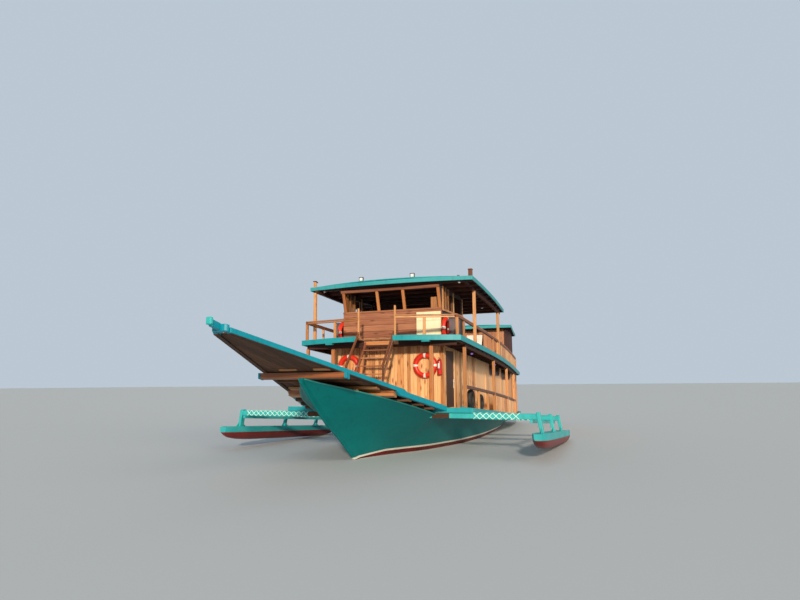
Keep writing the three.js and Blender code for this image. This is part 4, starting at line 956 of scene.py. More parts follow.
def platform_boards(top, thick, width):
    """Lengthwise boards, cut off along the side beams."""
    made = Joinery()
    half, back = inside(HOUSE_X + 0.05), HOUSE_X + 0.004
    edges = np.linspace(-half, half, round(2 * half / width) + 1)
    for y0, y1 in zip(edges + 0.002, edges[1:] - 0.002):
        ahead = [max(back + 0.02, min(BOARDS_END, TIP_X - (abs(y) - inside(TIP_X)) / FLARE))
                 for y in (y0, y1)]
        middle = stations(back + 0.01, min(ahead) - 0.005) if min(ahead) > back + 0.1 else []
        made.plank(y0, y1, top, thick, [(back, back), *((x, x) for x in middle), ahead])
    return made


def build_platform():
    """Boards between two long beams, with bearers and pale planks under them."""
    build_side_beams()
    boards = platform_boards(main_top, 0.03, 0.14)
    fit(boards.build("platform_boards"), REDWOOD, stands_for="bow_platform", bevel=0.003)
    # This thin dark layer is painted shade: it keeps the platform's underside as dark as it looks from below
    # in shadow.
    under = platform_boards(moved(main_top, -0.032), 0.013, 0.14)
    fit(under.build("platform_underside_boards"), UNDERSIDE, bevel=0.002)
    small = Joinery().run(6.865, 6.935, *across(inside, -0.02), *beside(main_top, -0.085, -0.045))
    for x in (4.25, 4.72, 5.25):
        small.run(x - 0.06, x + 0.06, *across(beam_outer, -0.07), *beside(main_top, -0.199, -0.147))
    fit(small.build("platform_small_bearers"), UNDERSIDE, bevel=0.004)
    bearers = Joinery()
    for low, high in ((-0.199, -0.128), (-0.124, -0.047)):
        bearers.run(5.70, 5.92, -1.50, 1.50, *beside(main_top, low, high))
    bearers.run(7.63, 7.77, -1.10, 1.10, *beside(main_top, -0.1997, -0.0703))
    fit(bearers.build("platform_bearers"), TEAK, stands_for="bow_bearer", bevel=0.006)
    pale = Joinery().run(6.16, 6.34, -1.24, 1.24, *beside(main_top, -0.112, -0.06))
    pale.run(6.20, 6.30, -0.70, 0.70, *beside(main_top, -0.199, -0.113))
    for y0, y1 in ((-0.45, 0.0), (0.44, 0.84)):
        pale.run(7.93, 8.01, y0, y1, *beside(main_top, -0.078, -0.046))
    fit(pale.build("platform_pale_planks"), POST_WOOD, bevel=0.005)
    ends = Joinery()
    for _, s in SIDES:
        ends.run(7.62, 7.78, s * 1.10, s * 1.16, *beside(main_top, -0.205, -0.0703))
    fit(ends.build("bearer_ends"), BEAM_PAINT, bevel=0.006)
    build_bow_head()


def build_bow_head():
    """A rounded block that closes the beams, a short spar, and the spar's squared end."""
    head = Joinery()
    rounded = [(TIP_X + GAP, 0.185), (TIP_X + 0.04, 0.183), (TIP_X + 0.07, 0.165), (TIP_X + 0.09, 0.13),
               (TIP_X + 0.095, 0.09)]
    rounded += [(x, -y) for x, y in reversed(rounded)]
    head.loft([[(x, y, height(x)) for x, y in rounded] for height in beside(main_top, -0.05, 0.085)])
    head.run(TIP_X + 0.075, 10.925, -0.045, 0.045, *beside(main_top, -0.035, 0.10))
    fit(head.build("bow_head_block"), BEAM_PAINT, stands_for="bow_head", bevel=0.012)
    end = Joinery().block(10.905, 10.99, -0.062, 0.062, main_top(10.99) - 0.025, main_top(10.99) + 0.12)
    fit(end.build("bow_spar_end"), BOOM_PAINT, bevel=0.02)


build_platform()


# Outriggers

BOOM_WIDE, SILL_HALF = 0.15, 2.9
# For each boom: name, x, strut width, then to port and to starboard the lashing's turns and its two ends
BOOMS = [
    ("boom_front", 3.6, 0.19, (3.5, 2.90, 4.14), (6.5, 2.20, 4.42)),
    ("boom_middle", 1.15, 0.12, (3, 3.10, 4.10), (3, 3.10, 4.10)),
    ("boom_aft", -0.95, 0.12, (3, 3.10, 4.10), (3, 3.10, 4.10))]


def boom_height(x):
    return 1.10 + 0.065 * (x - 3.6)


def float_y(x):
    return 4.64 + 0.02 * x


FLOAT_TABLE = [  # x, half width, top, bottom
    (4.45, 0.11, 0.715, 0.53), (4.25, 0.175, 0.703, 0.405), (3.7, 0.225, 0.671, 0.295),
    (2.5, 0.245, 0.601, 0.205), (0.5, 0.25, 0.485, 0.095), (-1.3, 0.235, 0.38, 0.02),
    (-2.2, 0.16, 0.327, 0.08), (-2.5, 0.07, 0.31, 0.2)]
FLOAT_SECTION = [  # shares of the half width and of the depth
    (1.0, 0.0), (1.0, 0.25), (0.98, 0.45), (0.92, 0.62), (0.80, 0.78), (0.62, 0.90), (0.38, 0.98), (0.12, 1.0)]


def float_top(x):
    return smooth_row(FLOAT_TABLE, x)[1]


def build_booms():
    """Three square booms with a strut to each float, lashed, and the sill over the first."""
    sill = Joinery().run(3.57, PLATFORM_AFT - GAP, -SILL_HALF, SILL_HALF, boom_height(3.6) + 0.0753,
                         moved(main_top, -0.0453))
    fit(sill.build("front_sill_beam"), TRIM_PAINT, stands_for="front_sill", bevel=0.012)
    half = BOOM_WIDE / 2
    for name, x, wide, port, starboard in BOOMS:
        z = boom_height(x)
        reach = float_y(x) - 0.05
        made = Joinery().block(x - half, x + half, -reach, reach, z - half, z + half)
        for _, s in SIDES:
            made.loft([[(sx, s * (float_y(sx) + 0.045), float_top(sx)),
                        (sx, s * (float_y(sx) - 0.05), float_top(sx)),
                        (sx, s * (float_y(sx) - 0.14), z + 0.11), (sx, s * (float_y(sx) - 0.045), z + 0.11)]
                       for sx in (x - wide / 2, x + wide / 2)])
        fit(made.build(name + "_pole"), BOOM_PAINT, stands_for=name, bevel=0.012)
        for (side, s), (turns, near, far) in zip(SIDES, (port, starboard)):
            lashing = grow(f"{name}_lashing_{side}", LASHED, [(x, s * near, z), (x, s * far, z)], {
                "Turns": float(turns), "Half width": half + 0.007, "Line radius": 0.01,
                "Points": int(64 * turns) + 1, "Finish": LASHING})
            fit(lashing, LASHING, round_below=50)
    chafing = Joinery()
    for _, s in SIDES:
        chafing.block(3.676, 3.69, *sorted((s * 1.72, s * 2.22)), 1.03, 1.165)
    fit(chafing.build("boom_chafing_boards"), UNDERSIDE, bevel=0.003)


def build_floats():
    """Two boat-shaped floats with edge boards, knees at the struts and a rail inboard."""
    for side, s in SIDES:
        rows = []
        for x in np.linspace(-2.5, 4.45, 60):
            half, top, bottom = smooth_row(FLOAT_TABLE, x)
            section = [(0.98 * half * w, top - t * (top - bottom)) for w, t in FLOAT_SECTION]
            section += [(-y, z) for y, z in reversed(section)]
            rows.append([(x, s * (float_y(x) + y), z) for y, z in section])
        fit(Joinery().loft(rows).build(f"float_{side}_body"), FLOAT_PAINT,
            stands_for=f"float_{side}", round_below=35)
        deck = Joinery()
        for edge in (-1, 1):
            rows = []
            for x in np.linspace(-2.35, 4.36, 40):
                half, top, _ = smooth_row(FLOAT_TABLE, x)
                y = s * float_y(x) + edge * (half - 0.022)
                rows.append([(x, y - 0.016, top - 0.03), (x, y + 0.016, top - 0.03),
                             (x, y + 0.016, top + 0.014), (x, y - 0.016, top + 0.014)])
            deck.loft(rows)
        for _, x, wide, _, _ in BOOMS:
            for end in (-1, 1):
                foot = x + end * (wide / 2 + 0.002)
                z = float_top(foot) + 0.001
                y = s * float_y(foot)
                deck.slab([(foot, z), (foot + end * 0.16, z), (foot, z + 0.13)], y - 0.012, y + 0.012)
        fit(deck.build(f"float_{side}_edges_and_knees"), BOOM_PAINT, bevel=0.005)
        top = lambda x: boom_height(x) - 0.0802
        rail = Joinery().run(-1.2, 3.78, *beside(float_y, -0.29, -0.22, s), moved(top, -0.09), top)
        fit(rail.build(f"float_{side}_rail"), BOOM_PAINT, stands_for=f"float_rail_{side}",
            bevel=0.008)


build_booms()
build_floats()


# Cabin

def deck_seat(x):
    return main_top(x) + GAP


def ceiling_seat(x):
    return upper_ceiling(x) - GAP


SIDE_WINDOWS = [(-2.9, -4.7), (-5.0, -6.8)]
DOOR_FRONT, DOOR_AFT, DOOR_SILL, DOOR_HEAD, DOOR_LEAF = 2.55, 1.76, 1.262, 2.95, 0.035


def rounded_outline(x0, x1, z0, z1, radius):
    """A window's outline, with its corners rounded in short steps."""
    points, steps = [], 8
    for cx, cz, quarter in ((x1 - radius, z1 - radius, 0), (x0 + radius, z1 - radius, 1),
                            (x0 + radius, z0 + radius, 2), (x1 - radius, z0 + radius, 3)):
        for i in range(steps + 1):
            angle = (quarter + i / steps) * math.pi / 2
            points.append((cx + radius * math.cos(angle), cz + radius * math.sin(angle)))
    return points


def build_cabin_ends():
    """The cabin's front and aft walls of upright boards, the aft one with a doorway."""
    low, high = deck_seat(CABIN_FRONT_X), ceiling_seat(CABIN_FRONT_X)
    front = cross_wall("cabin_front_boards", CABIN_FRONT_X - WALL / 2, CABIN_HALF, low, high, 0.105, HONEY, 3)
    fit(front, HONEY, stands_for="cabin_front_wall", bevel=0.004)
    x = CABIN_AFT_X + WALL / 2
    low, high = deck_seat(x), ceiling_seat(x)
    aft = cross_wall("cabin_aft_boards", x, CABIN_HALF - 0.046, low, high, 0.165, HONEY, 5)
    cut_doorway(aft, x, 0.4, low + 0.06, low + 1.7)
    fit(aft, HONEY, stands_for="cabin_aft_wall", bevel=0.004)


def build_cabin_side(side, s):
    """Upright boards forward with the doorway in them, then plywood with long windows."""
    y = s * (CABIN_HALF - WALL / 2)
    height = ceiling_seat(0) - deck_seat(0)
    mid = lambda t: (deck_seat(t) + ceiling_seat(t)) / 2
    ply_front = -1.0
    boards = board_wall(f"cabin_{side}_boards", (ply_front, y, mid(ply_front)),
                        (CABIN_FRONT_X - WALL, y, mid(CABIN_FRONT_X)), height, 0.105, HONEY, 7)
    doorway = Joinery().block(DOOR_AFT - 0.006, DOOR_FRONT + 0.006, y - 0.1, y + 0.1, DOOR_SILL, DOOR_HEAD)
    cut_out(boards, doorway)
    fit(boards, HONEY, stands_for=f"cabin_{side}_wall", bevel=0.004)
    sheets = Joinery()
    edges = [ply_front - 0.003, -2.3, -3.55, -4.85, -6.1, -7.3, CABIN_AFT_X]
    for a, b in zip(edges, edges[1:]):
        sheets.run(b + 0.004, a - 0.004, y - 0.011, y + 0.011, deck_seat, ceiling_seat)
    ply = sheets.build(f"cabin_{side}_plywood")
    holes, panes, frames = Joinery(), Joinery(), Joinery()
    for x1, x0 in SIDE_WINDOWS:
        sill = main_top((x0 + x1) / 2) + 1.48
        holes.slab(rounded_outline(x0, x1, sill, sill + 0.46, 0.2), y - 0.1, y + 0.1)
        panes.slab(rounded_outline(x0 - 0.02, x1 + 0.02, sill - 0.02, sill + 0.48, 0.22),
                   y - 0.017, y - 0.013)
        outer = rounded_outline(x0 - 0.03, x1 + 0.03, sill - 0.03, sill + 0.49, 0.23)
        inner = rounded_outline(x0, x1, sill, sill + 0.46, 0.2)
        frames.loft([[(a[0], y + s * 0.0115, a[1]), (a[0], y + s * 0.024, a[1]), (b[0], y + s * 0.024, b[1]),
                      (b[0], y + s * 0.0115, b[1])] for a, b in zip(outer, inner)], ring=True)
    cut_out(ply, holes)
    fit(ply, PLYWOOD, bevel=0.002)
    fit(panes.build(f"cabin_{side}_glass"), DARK_GLASS)
    fit(frames.build(f"cabin_{side}_window_frames"), TEAK, bevel=0.003)
    trim = Joinery()
    for x in edges[1:-1]:
        trim.upright(x, y + s * 0.018, 0.05, 0.014, deck_seat, ceiling_seat)
    for x0, x1 in ((1.665, 1.745), (2.69, 2.75)):
        trim.run(x0, x1, y + s * 0.0235, y + s * 0.036, deck_seat, ceiling_seat)
    trim.run(DOOR_AFT - 0.01, DOOR_FRONT + 0.01, y + s * 0.0235, y + s * 0.036,
             DOOR_HEAD + 0.008, DOOR_HEAD + 0.09)
    fit(trim.build(f"cabin_{side}_trim"), PLYWOOD, bevel=0.003)


def build_door(side, s):
    """A hinged leaf with raised mouldings, its hinges and a lever handle."""
    inner = s * (CABIN_HALF - WALL + 0.005)
    face = inner + s * DOOR_LEAF
    body = f"door_{side}"
    leaf = Joinery().block(DOOR_AFT, DOOR_FRONT, *sorted((inner, face)), DOOR_SILL + 0.006, DOOR_HEAD - 0.006)
    fit(leaf.build(f"door_{side}_leaf"), DOOR_SKIN, body, f"cabin_door_{side}", 0.004)
    panels = Joinery()
    for z0, z1 in ((1.42, 2.0), (2.12, 2.8)):
        for x0, x1, a, b in ((1.88, 2.43, z0, z0 + 0.03), (1.88, 2.43, z1 - 0.03, z1), (1.88, 1.91, z0, z1),
                             (2.40, 2.43, z0, z1)):
            panels.block(x0, x1, *sorted((face, face + s * 0.008)), a, b)
    for z in (DOOR_SILL + 0.25, DOOR_HEAD - 0.25):
        panels.lathe([(0.012, -0.045), (0.012, 0.045)], (2.558, s * (CABIN_HALF - WALL - 0.0123), z), "z", 12)
    fit(panels.build(f"door_{side}_mouldings_and_hinges"), DOOR_SKIN, body, bevel=0.002)
    handle = Joinery()
    handle.block(1.79, 1.83, *sorted((face, face + s * 0.006)), 1.83, 2.10)
    spindle = sorted((0.0, s * 0.042))
    handle.lathe([(0.011, spindle[0]), (0.011, spindle[1])], (1.81, face, 2.02), "y", 12)
    handle.bar((1.805, face + s * 0.038, 2.02), (1.93, face + s * 0.038, 2.015), 0.014, 0.02)
    fit(handle.build(f"door_{side}_handle"), WHITE_PLASTIC, body, bevel=0.003)


build_cabin_ends()
for side, s in SIDES:
    build_cabin_side(side, s)
    build_door(side, s)


# Lower posts and rails

POST, HEADER, SIDE_HEADER = 0.09, 0.09, 0.08       # how wide a post is, and how deep the headers over them
RAIL_DEEP, LOWER_RAIL = 0.09, 0.67                # how deep a rail is, and its top above the main deck
LOWER_POSTS = {"port": [2.75, -1.08, -4.0, -6.6, -7.2], "starboard": [3.35, -1.08, -4.0, -6.6, -7.2]}
lower_line = moved(half_upper, -0.095)


def build_lower_sides():
    """Posts from deck to deck, with a rail and upright boards behind it."""
    for side, s in SIDES:
        line = lambda x: s * lower_line(x)
        front = LOWER_POSTS[side][0]
        top = moved(main_top, LOWER_RAIL)
        posts = Joinery()
        for x in LOWER_POSTS[side]:
            posts.upright(x, line, POST, POST, deck_seat, moved(ceiling_seat, -SIDE_HEADER))
        for x in (1.24, 0.0):
            posts.upright(x, line, 0.08, 0.07, deck_seat, moved(top, -RAIL_DEEP))
        fit(posts.build(f"lower_{side}_posts"), POST_WOOD, stands_for=f"lower_side_{side}",
            bevel=0.008)
        header = Joinery().run(-7.25, front, *beside(line, -0.04, 0.04), moved(upper_ceiling, -SIDE_HEADER),
                               ceiling_seat)
        fit(header.build(f"lower_{side}_header"), CEILING, bevel=0.006)
        rail = Joinery().run(-7.25, front, *beside(line, -0.04, 0.04), moved(top, -RAIL_DEEP), top)
        fit(rail.build(f"lower_{side}_rail"), STAINED, bevel=0.01)
        rail_boards(f"lower_{side}_boards", line, main_top, -7.13, -1.25, 0.172, 0.012, 5)


build_lower_sides()


def build_front_posts():
    """The two posts ahead of the cabin, and the frame with a rail at the stern."""
    posts = Joinery()
    for y in (-1.55, 1.62):
        posts.upright(3.35, y, 0.08, 0.11, deck_seat, moved(ceiling_seat, -HEADER))
    fit(posts.build("front_posts_timber"), TEAK, stands_for="front_posts", bevel=0.008)
    header = Joinery().run(3.31, 3.39, -2.38, 2.38, moved(upper_ceiling, -HEADER), ceiling_seat)
    fit(header.build("front_header"), CEILING, bevel=0.006)
    stern = Joinery()
    for y in (-1.15, 1.15):
        stern.upright(-11.3, y, POST, POST, deck_seat, ceiling_seat)
    stern.run(-11.345, -11.255, -1.15, 1.15, moved(upper_ceiling, -HEADER), ceiling_seat)
    stern.run(-11.34, -11.26, -1.15, 1.15, *beside(main_top, LOWER_RAIL - RAIL_DEEP, LOWER_RAIL))
    for i in range(8):
        stern.upright(-11.3, -0.84 + 0.24 * i, 0.025, 0.18, deck_seat, moved(main_top, 0.59))
    fit(stern.build("stern_posts_and_rail"), TEAK, stands_for="stern_frame", bevel=0.008)


build_front_posts()


# Upper deck

NOTCH = (-0.512, 0.652, 3.4)
DECK_BULGE = 0.42
EDGE_THICK = 0.035


def swell(front, bulge, corner):
    """How far forward a deck's or roof's front edge is at y."""
    return lambda y: front + bulge * (1 - min(1.0, (y / corner) ** 2))


def edge_loop(top, above, below):
    """The section of an edge board between an inner and an outer point."""
    return lambda a, b, x: [
        (*a, top(x) - below), (*b, top(x) - below), (*b, top(x) + above), (*a, top(x) + above)]


def side_loops(loop, s, half, front, aft):
    """Loops of an edge board from the middle of the aft edge to the front corner of one side."""
    loops = [loop((aft, 0), (aft - EDGE_THICK, 0), aft),
             loop((aft, s * half(aft)), (aft - EDGE_THICK, s * (half(aft) + EDGE_THICK)), aft)]
    for x in stations(aft, front)[1:-1]:
        loops.append(loop((x, s * half(x)), (x, s * (half(x) + EDGE_THICK)), x))
    corner = half(front)
    loops.append(loop((front, s * corner), (front + EDGE_THICK, s * (corner + EDGE_THICK)), front))
    return loops


def build_upper_deck():
    """Planks, ceiling boards below them, beams and the plates that the posts carry."""
    top = deck_boards(half_upper, HOUSE_X, STERN_X, upper_top, 0.034, 0.12, DECK_BULGE, NOTCH)
    fit(top.build("upper_deck_boards"), DECKING, stands_for="upper_deck", bevel=0.003)
    # The ceiling boards' near-black tone is partly dark stain and partly painted shade under the deck.
    lower = moved(upper_top, -0.036)
    under = deck_boards(half_upper, HOUSE_X, STERN_X, lower, 0.024, 0.16, DECK_BULGE, NOTCH)
    fit(under.build("lower_ceiling_boards"), CEILING, bevel=0.003)
    beams = cross_row("upper_deck_beams", STERN_X + 0.2, HOUSE_X - 0.3, moved(half_upper, -0.03),
                      moved(upper_top, -0.105), 0.08, 0.088, CEILING)
    fit(beams, CEILING, bevel=0.006)
    rows = Joinery()
    for _, s in SIDES:
        rows.run(CABIN_AFT_X, CABIN_FRONT_X, s * (CABIN_HALF - 0.06), s * (CABIN_HALF + 0.005), upper_ceiling,
                 moved(upper_top, -0.061))
        rows.run(STERN_X + 0.1, HOUSE_X - 0.03, *beside(lower_line, -0.045, 0.045, s), upper_ceiling,
                 moved(upper_top, -0.061))
    for x in (CABIN_FRONT_X - 0.03, CABIN_AFT_X + 0.022, -11.3, 3.35):
        rows.run(x - 0.045, x + 0.045, *across(lower_line, -0.04), upper_ceiling, moved(upper_top, -0.061))
    fit(rows.build("upper_deck_plates"), CEILING, bevel=0.006)
    riser = Joinery().block(3.376, 3.399, NOTCH[0] + 0.03, NOTCH[1] - 0.03, 3.12, 3.255)
    fit(riser.build("notch_riser"), TEAK, bevel=0.003)
    build_deck_edge()


def build_deck_edge():
    """The edge board, open at the ladder's notch, and two blocks below its front."""
    corner = half_upper(HOUSE_X)
    nose = swell(HOUSE_X, DECK_BULGE, corner)
    loop = edge_loop(upper_top, 0.025, 0.13)
    edge = Joinery()
    for _, s in SIDES:
        stop = NOTCH[1] if s > 0 else -NOTCH[0]
        loops = side_loops(loop, s, half_upper, HOUSE_X, STERN_X)
        for y in np.linspace(corner, stop, 12)[1:]:
            loops.append(loop((nose(y), s * y), (nose(y) + EDGE_THICK, s * y), nose(y)))
        edge.loft(loops)
    fit(edge.build("upper_deck_edge_board"), TRIM_PAINT, stands_for="upper_deck_fascia",
        bevel=0.006)
    blocks = Joinery()
    for y in (-1.47, 1.585):
        x = nose(y)
        blocks.block(x - 0.10, x + 0.03, y - 0.115, y + 0.115, upper_top(x) - 0.175, upper_top(x) - 0.128)
    fit(blocks.build("edge_board_blocks"), TRIM_PAINT, bevel=0.008)


build_upper_deck()


# Ladder, its handrails and the front rails

RAIL_HEIGHT = 0.625
FRONT_RAILS = [  # side, notch post's x and y, middle post's y, corner's y, outermost post's x and y
    ("port", 3.814, 0.6895, 1.52, 2.37), ("starboard", 3.65, -0.5495, -1.385, -2.37)]
CORNER_X = 3.46
deck_stand = moved(upper_top, GAP)


def build_ladder():
    """Two stringers with six treads, and a handrail at each side."""
    top_x, top_z, foot_x, half, treads = 3.4003, 3.22, 4.6, 0.44, 6
    foot_z = main_top(foot_x)
    slope = (top_z - foot_z) / (foot_x - top_x)
    made = Joinery()
    for y in (-half, half):
        made.slab([(top_x, top_z), (top_x, top_z - 0.15), (foot_x - 0.09, main_top(foot_x - 0.09) + GAP),
                   (foot_x, foot_z + GAP)], y - 0.025, y + 0.025)
    for i in range(1, treads + 1):
        z = top_z - i * (top_z - foot_z) / (treads + 1)
        x = foot_x - (z - foot_z) / slope
        made.block(x - 0.11, x + 0.05, -half + 0.02, half - 0.02, z - 0.045, z - 0.01)
    fit(made.build("ladder_stringers_and_treads"), REDWOOD, stands_for="ladder", bevel=0.005)
    for side, y in (("port", NOTCH[1] - 0.0203), ("starboard", NOTCH[0] + 0.0203)):
        outline = [(3.78, 3.5), (3.78, 3.39), (4.54, 2.43), (4.62, 2.43), (4.62, 2.49)]
        rail = Joinery().slab(outline, y - 0.02, y + 0.02)
        rail.upright(4.56, y, 0.06, 0.04, deck_seat, 2.45)
        fit(rail.build(f"ladder_rail_{side}"), STAINED, stands_for=f"ladder_handrail_{side}",
            bevel=0.008)


def build_front_rails():
    """Two boards, one above the other, from a tall post at the notch to the deck's corner."""
    for side, notch_x, notch_y, middle_y, corner_y in FRONT_RAILS:
        middle_x = notch_x + (CORNER_X - notch_x) * (middle_y - notch_y) / (corner_y - notch_y)
        z = lambda x: upper_top(x) + RAIL_HEIGHT - 0.045
        posts = Joinery()
        posts.upright(notch_x, notch_y, 0.055, 0.05, deck_stand, moved(upper_top, 0.9))
        posts.upright(middle_x, middle_y, 0.07, 0.07, deck_stand, moved(upper_top, RAIL_HEIGHT - RAIL_DEEP))
        fit(posts.build(f"upper_front_posts_{side}"), POST_WOOD,
            stands_for=f"upper_front_rail_{side}", bevel=0.008)
        rails = Joinery()
        for shift, wide in ((-0.0255, 0.07), (0.0255, 0.08)):
            start, end = (notch_x, notch_y, z(notch_x) + shift), (CORNER_X, corner_y, z(CORNER_X) + shift)
            rails.bar(start, end, wide, 0.037)
        fit(rails.build(f"upper_front_rail_{side}_boards"), POST_WOOD, bevel=0.006)


build_ladder()
build_front_rails()

MAIN_ROOF = {"front": 2.73, "aft": -2.65, "top": 5.11, "bulge": 0.22}
AFT_ROOF = {"front": -7.0, "aft": -11.3, "top": 4.555, "bulge": 0.06}
ROOF_CAMBER, ROOF_DROP = 0.06, 0.13


@on_stations
def half_roof(x):
    return 2.7 - 8.9e-3 * (MAIN_ROOF["front"] - x) ** 2


@on_stations
def half_aft_roof(x):
    return 1.85 - 0.155 * (AFT_ROOF["front"] - x)


def roof_top(roof):
    return lambda x: roof["top"] + fall(x) - fall(roof["front"])


def roof_seat(x):
    return roof_top(MAIN_ROOF)(x) - ROOF_DROP - GAP


# Upper side rails with the roof's posts

upper_line = moved(half_upper, -0.10)
UPPER_POSTS = {  # x and how far inboard of the deck's edge
    "port": [(1.7, 0.045), (-2.15, 0.09)], "starboard": [(2.86, 0.045), (-0.2, 0.09), (-2.15, 0.09)]}
SMALL_POSTS = {"port": [2.75, -1.08, -1.9], "starboard": [2.4, -1.08, -1.9]}


def build_upper_sides():
    """Posts, rails and boards along the upper deck, and the rail at its stern."""
    for side, s in SIDES:
        line = lambda x: s * upper_line(x)
        top = moved(upper_top, RAIL_HEIGHT)
        posts = Joinery().upright(HOUSE_X - 0.065, line, 0.07, 0.08, deck_stand, moved(top, -RAIL_DEEP))
        for x, inboard in UPPER_POSTS[side]:
            posts.upright(x, s * (half_upper(x) - inboard), POST, POST, deck_stand,
                          moved(roof_seat, -SIDE_HEADER))
        for x in SMALL_POSTS[side]:
            posts.upright(x, line, 0.06, 0.06, deck_stand, moved(top, -RAIL_DEEP))
        fit(posts.build(f"upper_{side}_posts"), POST_WOOD, stands_for=f"upper_side_{side}",
            bevel=0.008)
        header = Joinery().run(-2.5, UPPER_POSTS[side][0][0] + 0.045, *beside(line, -0.04, 0.04),
                               moved(roof_seat, -SIDE_HEADER), roof_seat)
        fit(header.build(f"upper_{side}_header"), CEILING, bevel=0.006)
        rail = Joinery().run(-8.4, HOUSE_X - 0.03, *beside(line, -0.038, 0.038),
                             *beside(top, -RAIL_DEEP, -0.022))
        fit(rail.build(f"upper_{side}_rail"), STAINED, bevel=0.008)
        capping = Joinery().run(-8.4, HOUSE_X - 0.03, *beside(line, -0.04, 0.04), moved(top, -0.02), top)
        fit(capping.build(f"upper_{side}_rail_capping"), TEAK, bevel=0.005)
        rail_boards(f"upper_{side}_boards", line, upper_top, -8.28, -2.37, 0.192, 0.008, 9)
    stern = Joinery()
    x, half = STERN_X + 0.09, upper_line(STERN_X + 0.09) - 0.02
    top = moved(upper_top, RAIL_HEIGHT)
    stern.run(x - 0.04, x + 0.04, -half, half, moved(top, -RAIL_DEEP), top)
    for y in (-half + 0.04, -half / 3, half / 3, half - 0.04):
        stern.upright(x, y, 0.06, 0.06, deck_stand, moved(top, -0.08))
    fit(stern.build("upper_stern_rail_timber"), TEAK, stands_for="upper_stern_rail", bevel=0.008)


build_upper_sides()


# Wheelhouse

WHEEL_FRONT, WHEEL_AFT, WHEEL_HALF, WHEEL_SILL, RAKE, FRONT_THICK = 2.47, 0.15, 1.66, 4.235, 0.3, 0.075
SCREEN_POSTS = (-1.58, -0.41, 0.465, 1.615)
SCREEN_TOP = roof_seat(WHEEL_FRONT) - 0.01


def lean(z):
    """How far forward the windscreen's face is at a height."""
    return WHEEL_FRONT + RAKE * (z - WHEEL_SILL)


def build_wheelhouse_front():
    """Planks, four leaning windscreen posts and the blank notice panel."""
    planks = board_stack("wheelhouse_front_planks", (WHEEL_FRONT - FRONT_THICK / 2, 0), 2 * WHEEL_HALF,
                         FRONT_THICK, deck_stand(WHEEL_FRONT), WHEEL_SILL - 0.02, 0.2, REDWOOD, 6)
    fit(planks, REDWOOD, stands_for="wheelhouse_front", bevel=0.005)

    def band(made, z0, z1, y0, y1, proud=0.0):
        made.loft([[(lean(z0) - 0.06, y, z0), (lean(z0) + proud, y, z0), (lean(z1) + proud, y, z1),
                    (lean(z1) - 0.06, y, z1)] for y in (y0, y1)])
    posts, across = Joinery(), Joinery()
    for y in SCREEN_POSTS:
        band(posts, WHEEL_SILL + 0.03, SCREEN_TOP - 0.09, y - 0.045, y + 0.045)
    band(across, SCREEN_TOP - 0.09, SCREEN_TOP, -WHEEL_HALF, WHEEL_HALF, 0.012)
    band(across, WHEEL_SILL - 0.02, WHEEL_SILL + 0.03, -WHEEL_HALF, WHEEL_HALF, 0.03)
    fit(posts.build("windscreen_posts"), TEAK, bevel=0.006)
    fit(across.build("windscreen_sill_and_header"), REDWOOD, bevel=0.006)
    for i, (z0, z1) in enumerate(((3.4, 3.62), (3.625, 3.88), (3.885, 4.15))):
        notice = Joinery().block(WHEEL_FRONT + GAP, WHEEL_FRONT + 0.02, 0.86, 1.64, z0, z1)
        fit(notice.build(f"notice_panel_board_{i}"), CREAM_PAINT,
            stands_for="notice_panel" if i == 0 else None, bevel=0.003)


def build_wheelhouse_side(side, s):
    """A wall with two openings, window frames on both faces, and a locker beside it."""
    end = WHEEL_FRONT - FRONT_THICK - GAP
    y = s * (WHEEL_HALF - WALL / 2)
    behind = lambda z: lean(z) - 0.0606
    ahead = behind(roof_seat(2.6))
    foot = [(x, deck_stand(x)) for x in stations(WHEEL_AFT, end)]
    head = [(x, roof_seat(x)) for x in stations(WHEEL_AFT, ahead)]
    outline = [*foot, (end, WHEEL_SILL + GAP), (behind(WHEEL_SILL), WHEEL_SILL + GAP), *reversed(head)]
    made = Joinery().slab(outline, y - WALL / 2, y + WALL / 2).build(f"wheelhouse_wall_{side}")
    openings = Joinery()
    for x0, x1 in ((WHEEL_AFT + 0.15, WHEEL_AFT + 1.0), (WHEEL_AFT + 1.12, end - 0.12)):
        openings.block(x0, x1, y - 0.1, y + 0.1, WHEEL_SILL, WHEEL_SILL + 0.52)
    cut_out(made, openings)
    fit(made, SLATE, stands_for=f"wheelhouse_{side}_wall", bevel=0.004)
    frames = Joinery()
    for face in (-0.033, 0.033):
        for x, wide in ((0.2, 0.08), (1.21, 0.1), (1.77, 0.12), (2.06, 0.11), (2.31, 0.14)):
            frames.upright(x, y + face, wide, 0.02, WHEEL_SILL - 0.05, moved(roof_seat, -0.01))
    frames.run(WHEEL_AFT, end, y + s * 0.044, y + s * 0.056, WHEEL_SILL - 0.06, WHEEL_SILL)
    fit(frames.build(f"wheelhouse_window_frames_{side}"), POST_WOOD, bevel=0.004)
    low, high = sorted((s * 1.82, s * 2.04))
    locker = Joinery().run(1.75, 2.25, low, high, deck_stand, moved(upper_top, 0.72))
    locker.run(1.745, 2.262, low, high, moved(upper_top, 0.724), moved(upper_top, 0.76))
    fit(locker.build(f"side_locker_{side}_box"), LOCKER, stands_for=f"side_locker_{side}",
        bevel=0.008)


def build_wheelhouse_back():
    """The back wall with its doorway, and a board inside the windscreen."""
    x = WHEEL_AFT + WALL / 2
    low, high = deck_stand(x), roof_seat(x)
    back = cross_wall("wheelhouse_back_boards", x, WHEEL_HALF - 0.046, low, high, 0.18, CEILING, 8)
    cut_doorway(back, x, 0.45, low + 0.06, low + 1.65)
    fit(back, CEILING, stands_for="wheelhouse_back_wall", bevel=0.004)
    board = Joinery().block(2.19, 2.215, 1.24, 1.47, 4.1, 4.64)
    fit(board.build("wheelhouse_inner_board"), POST_WOOD, bevel=0.003)


build_wheelhouse_front()
build_wheelhouse_back()
for side, s in SIDES:
    build_wheelhouse_side(side, s)
refinish("helm_stand", REDWOOD)
refinish("helm_wheel", STAINED)


# Roofs

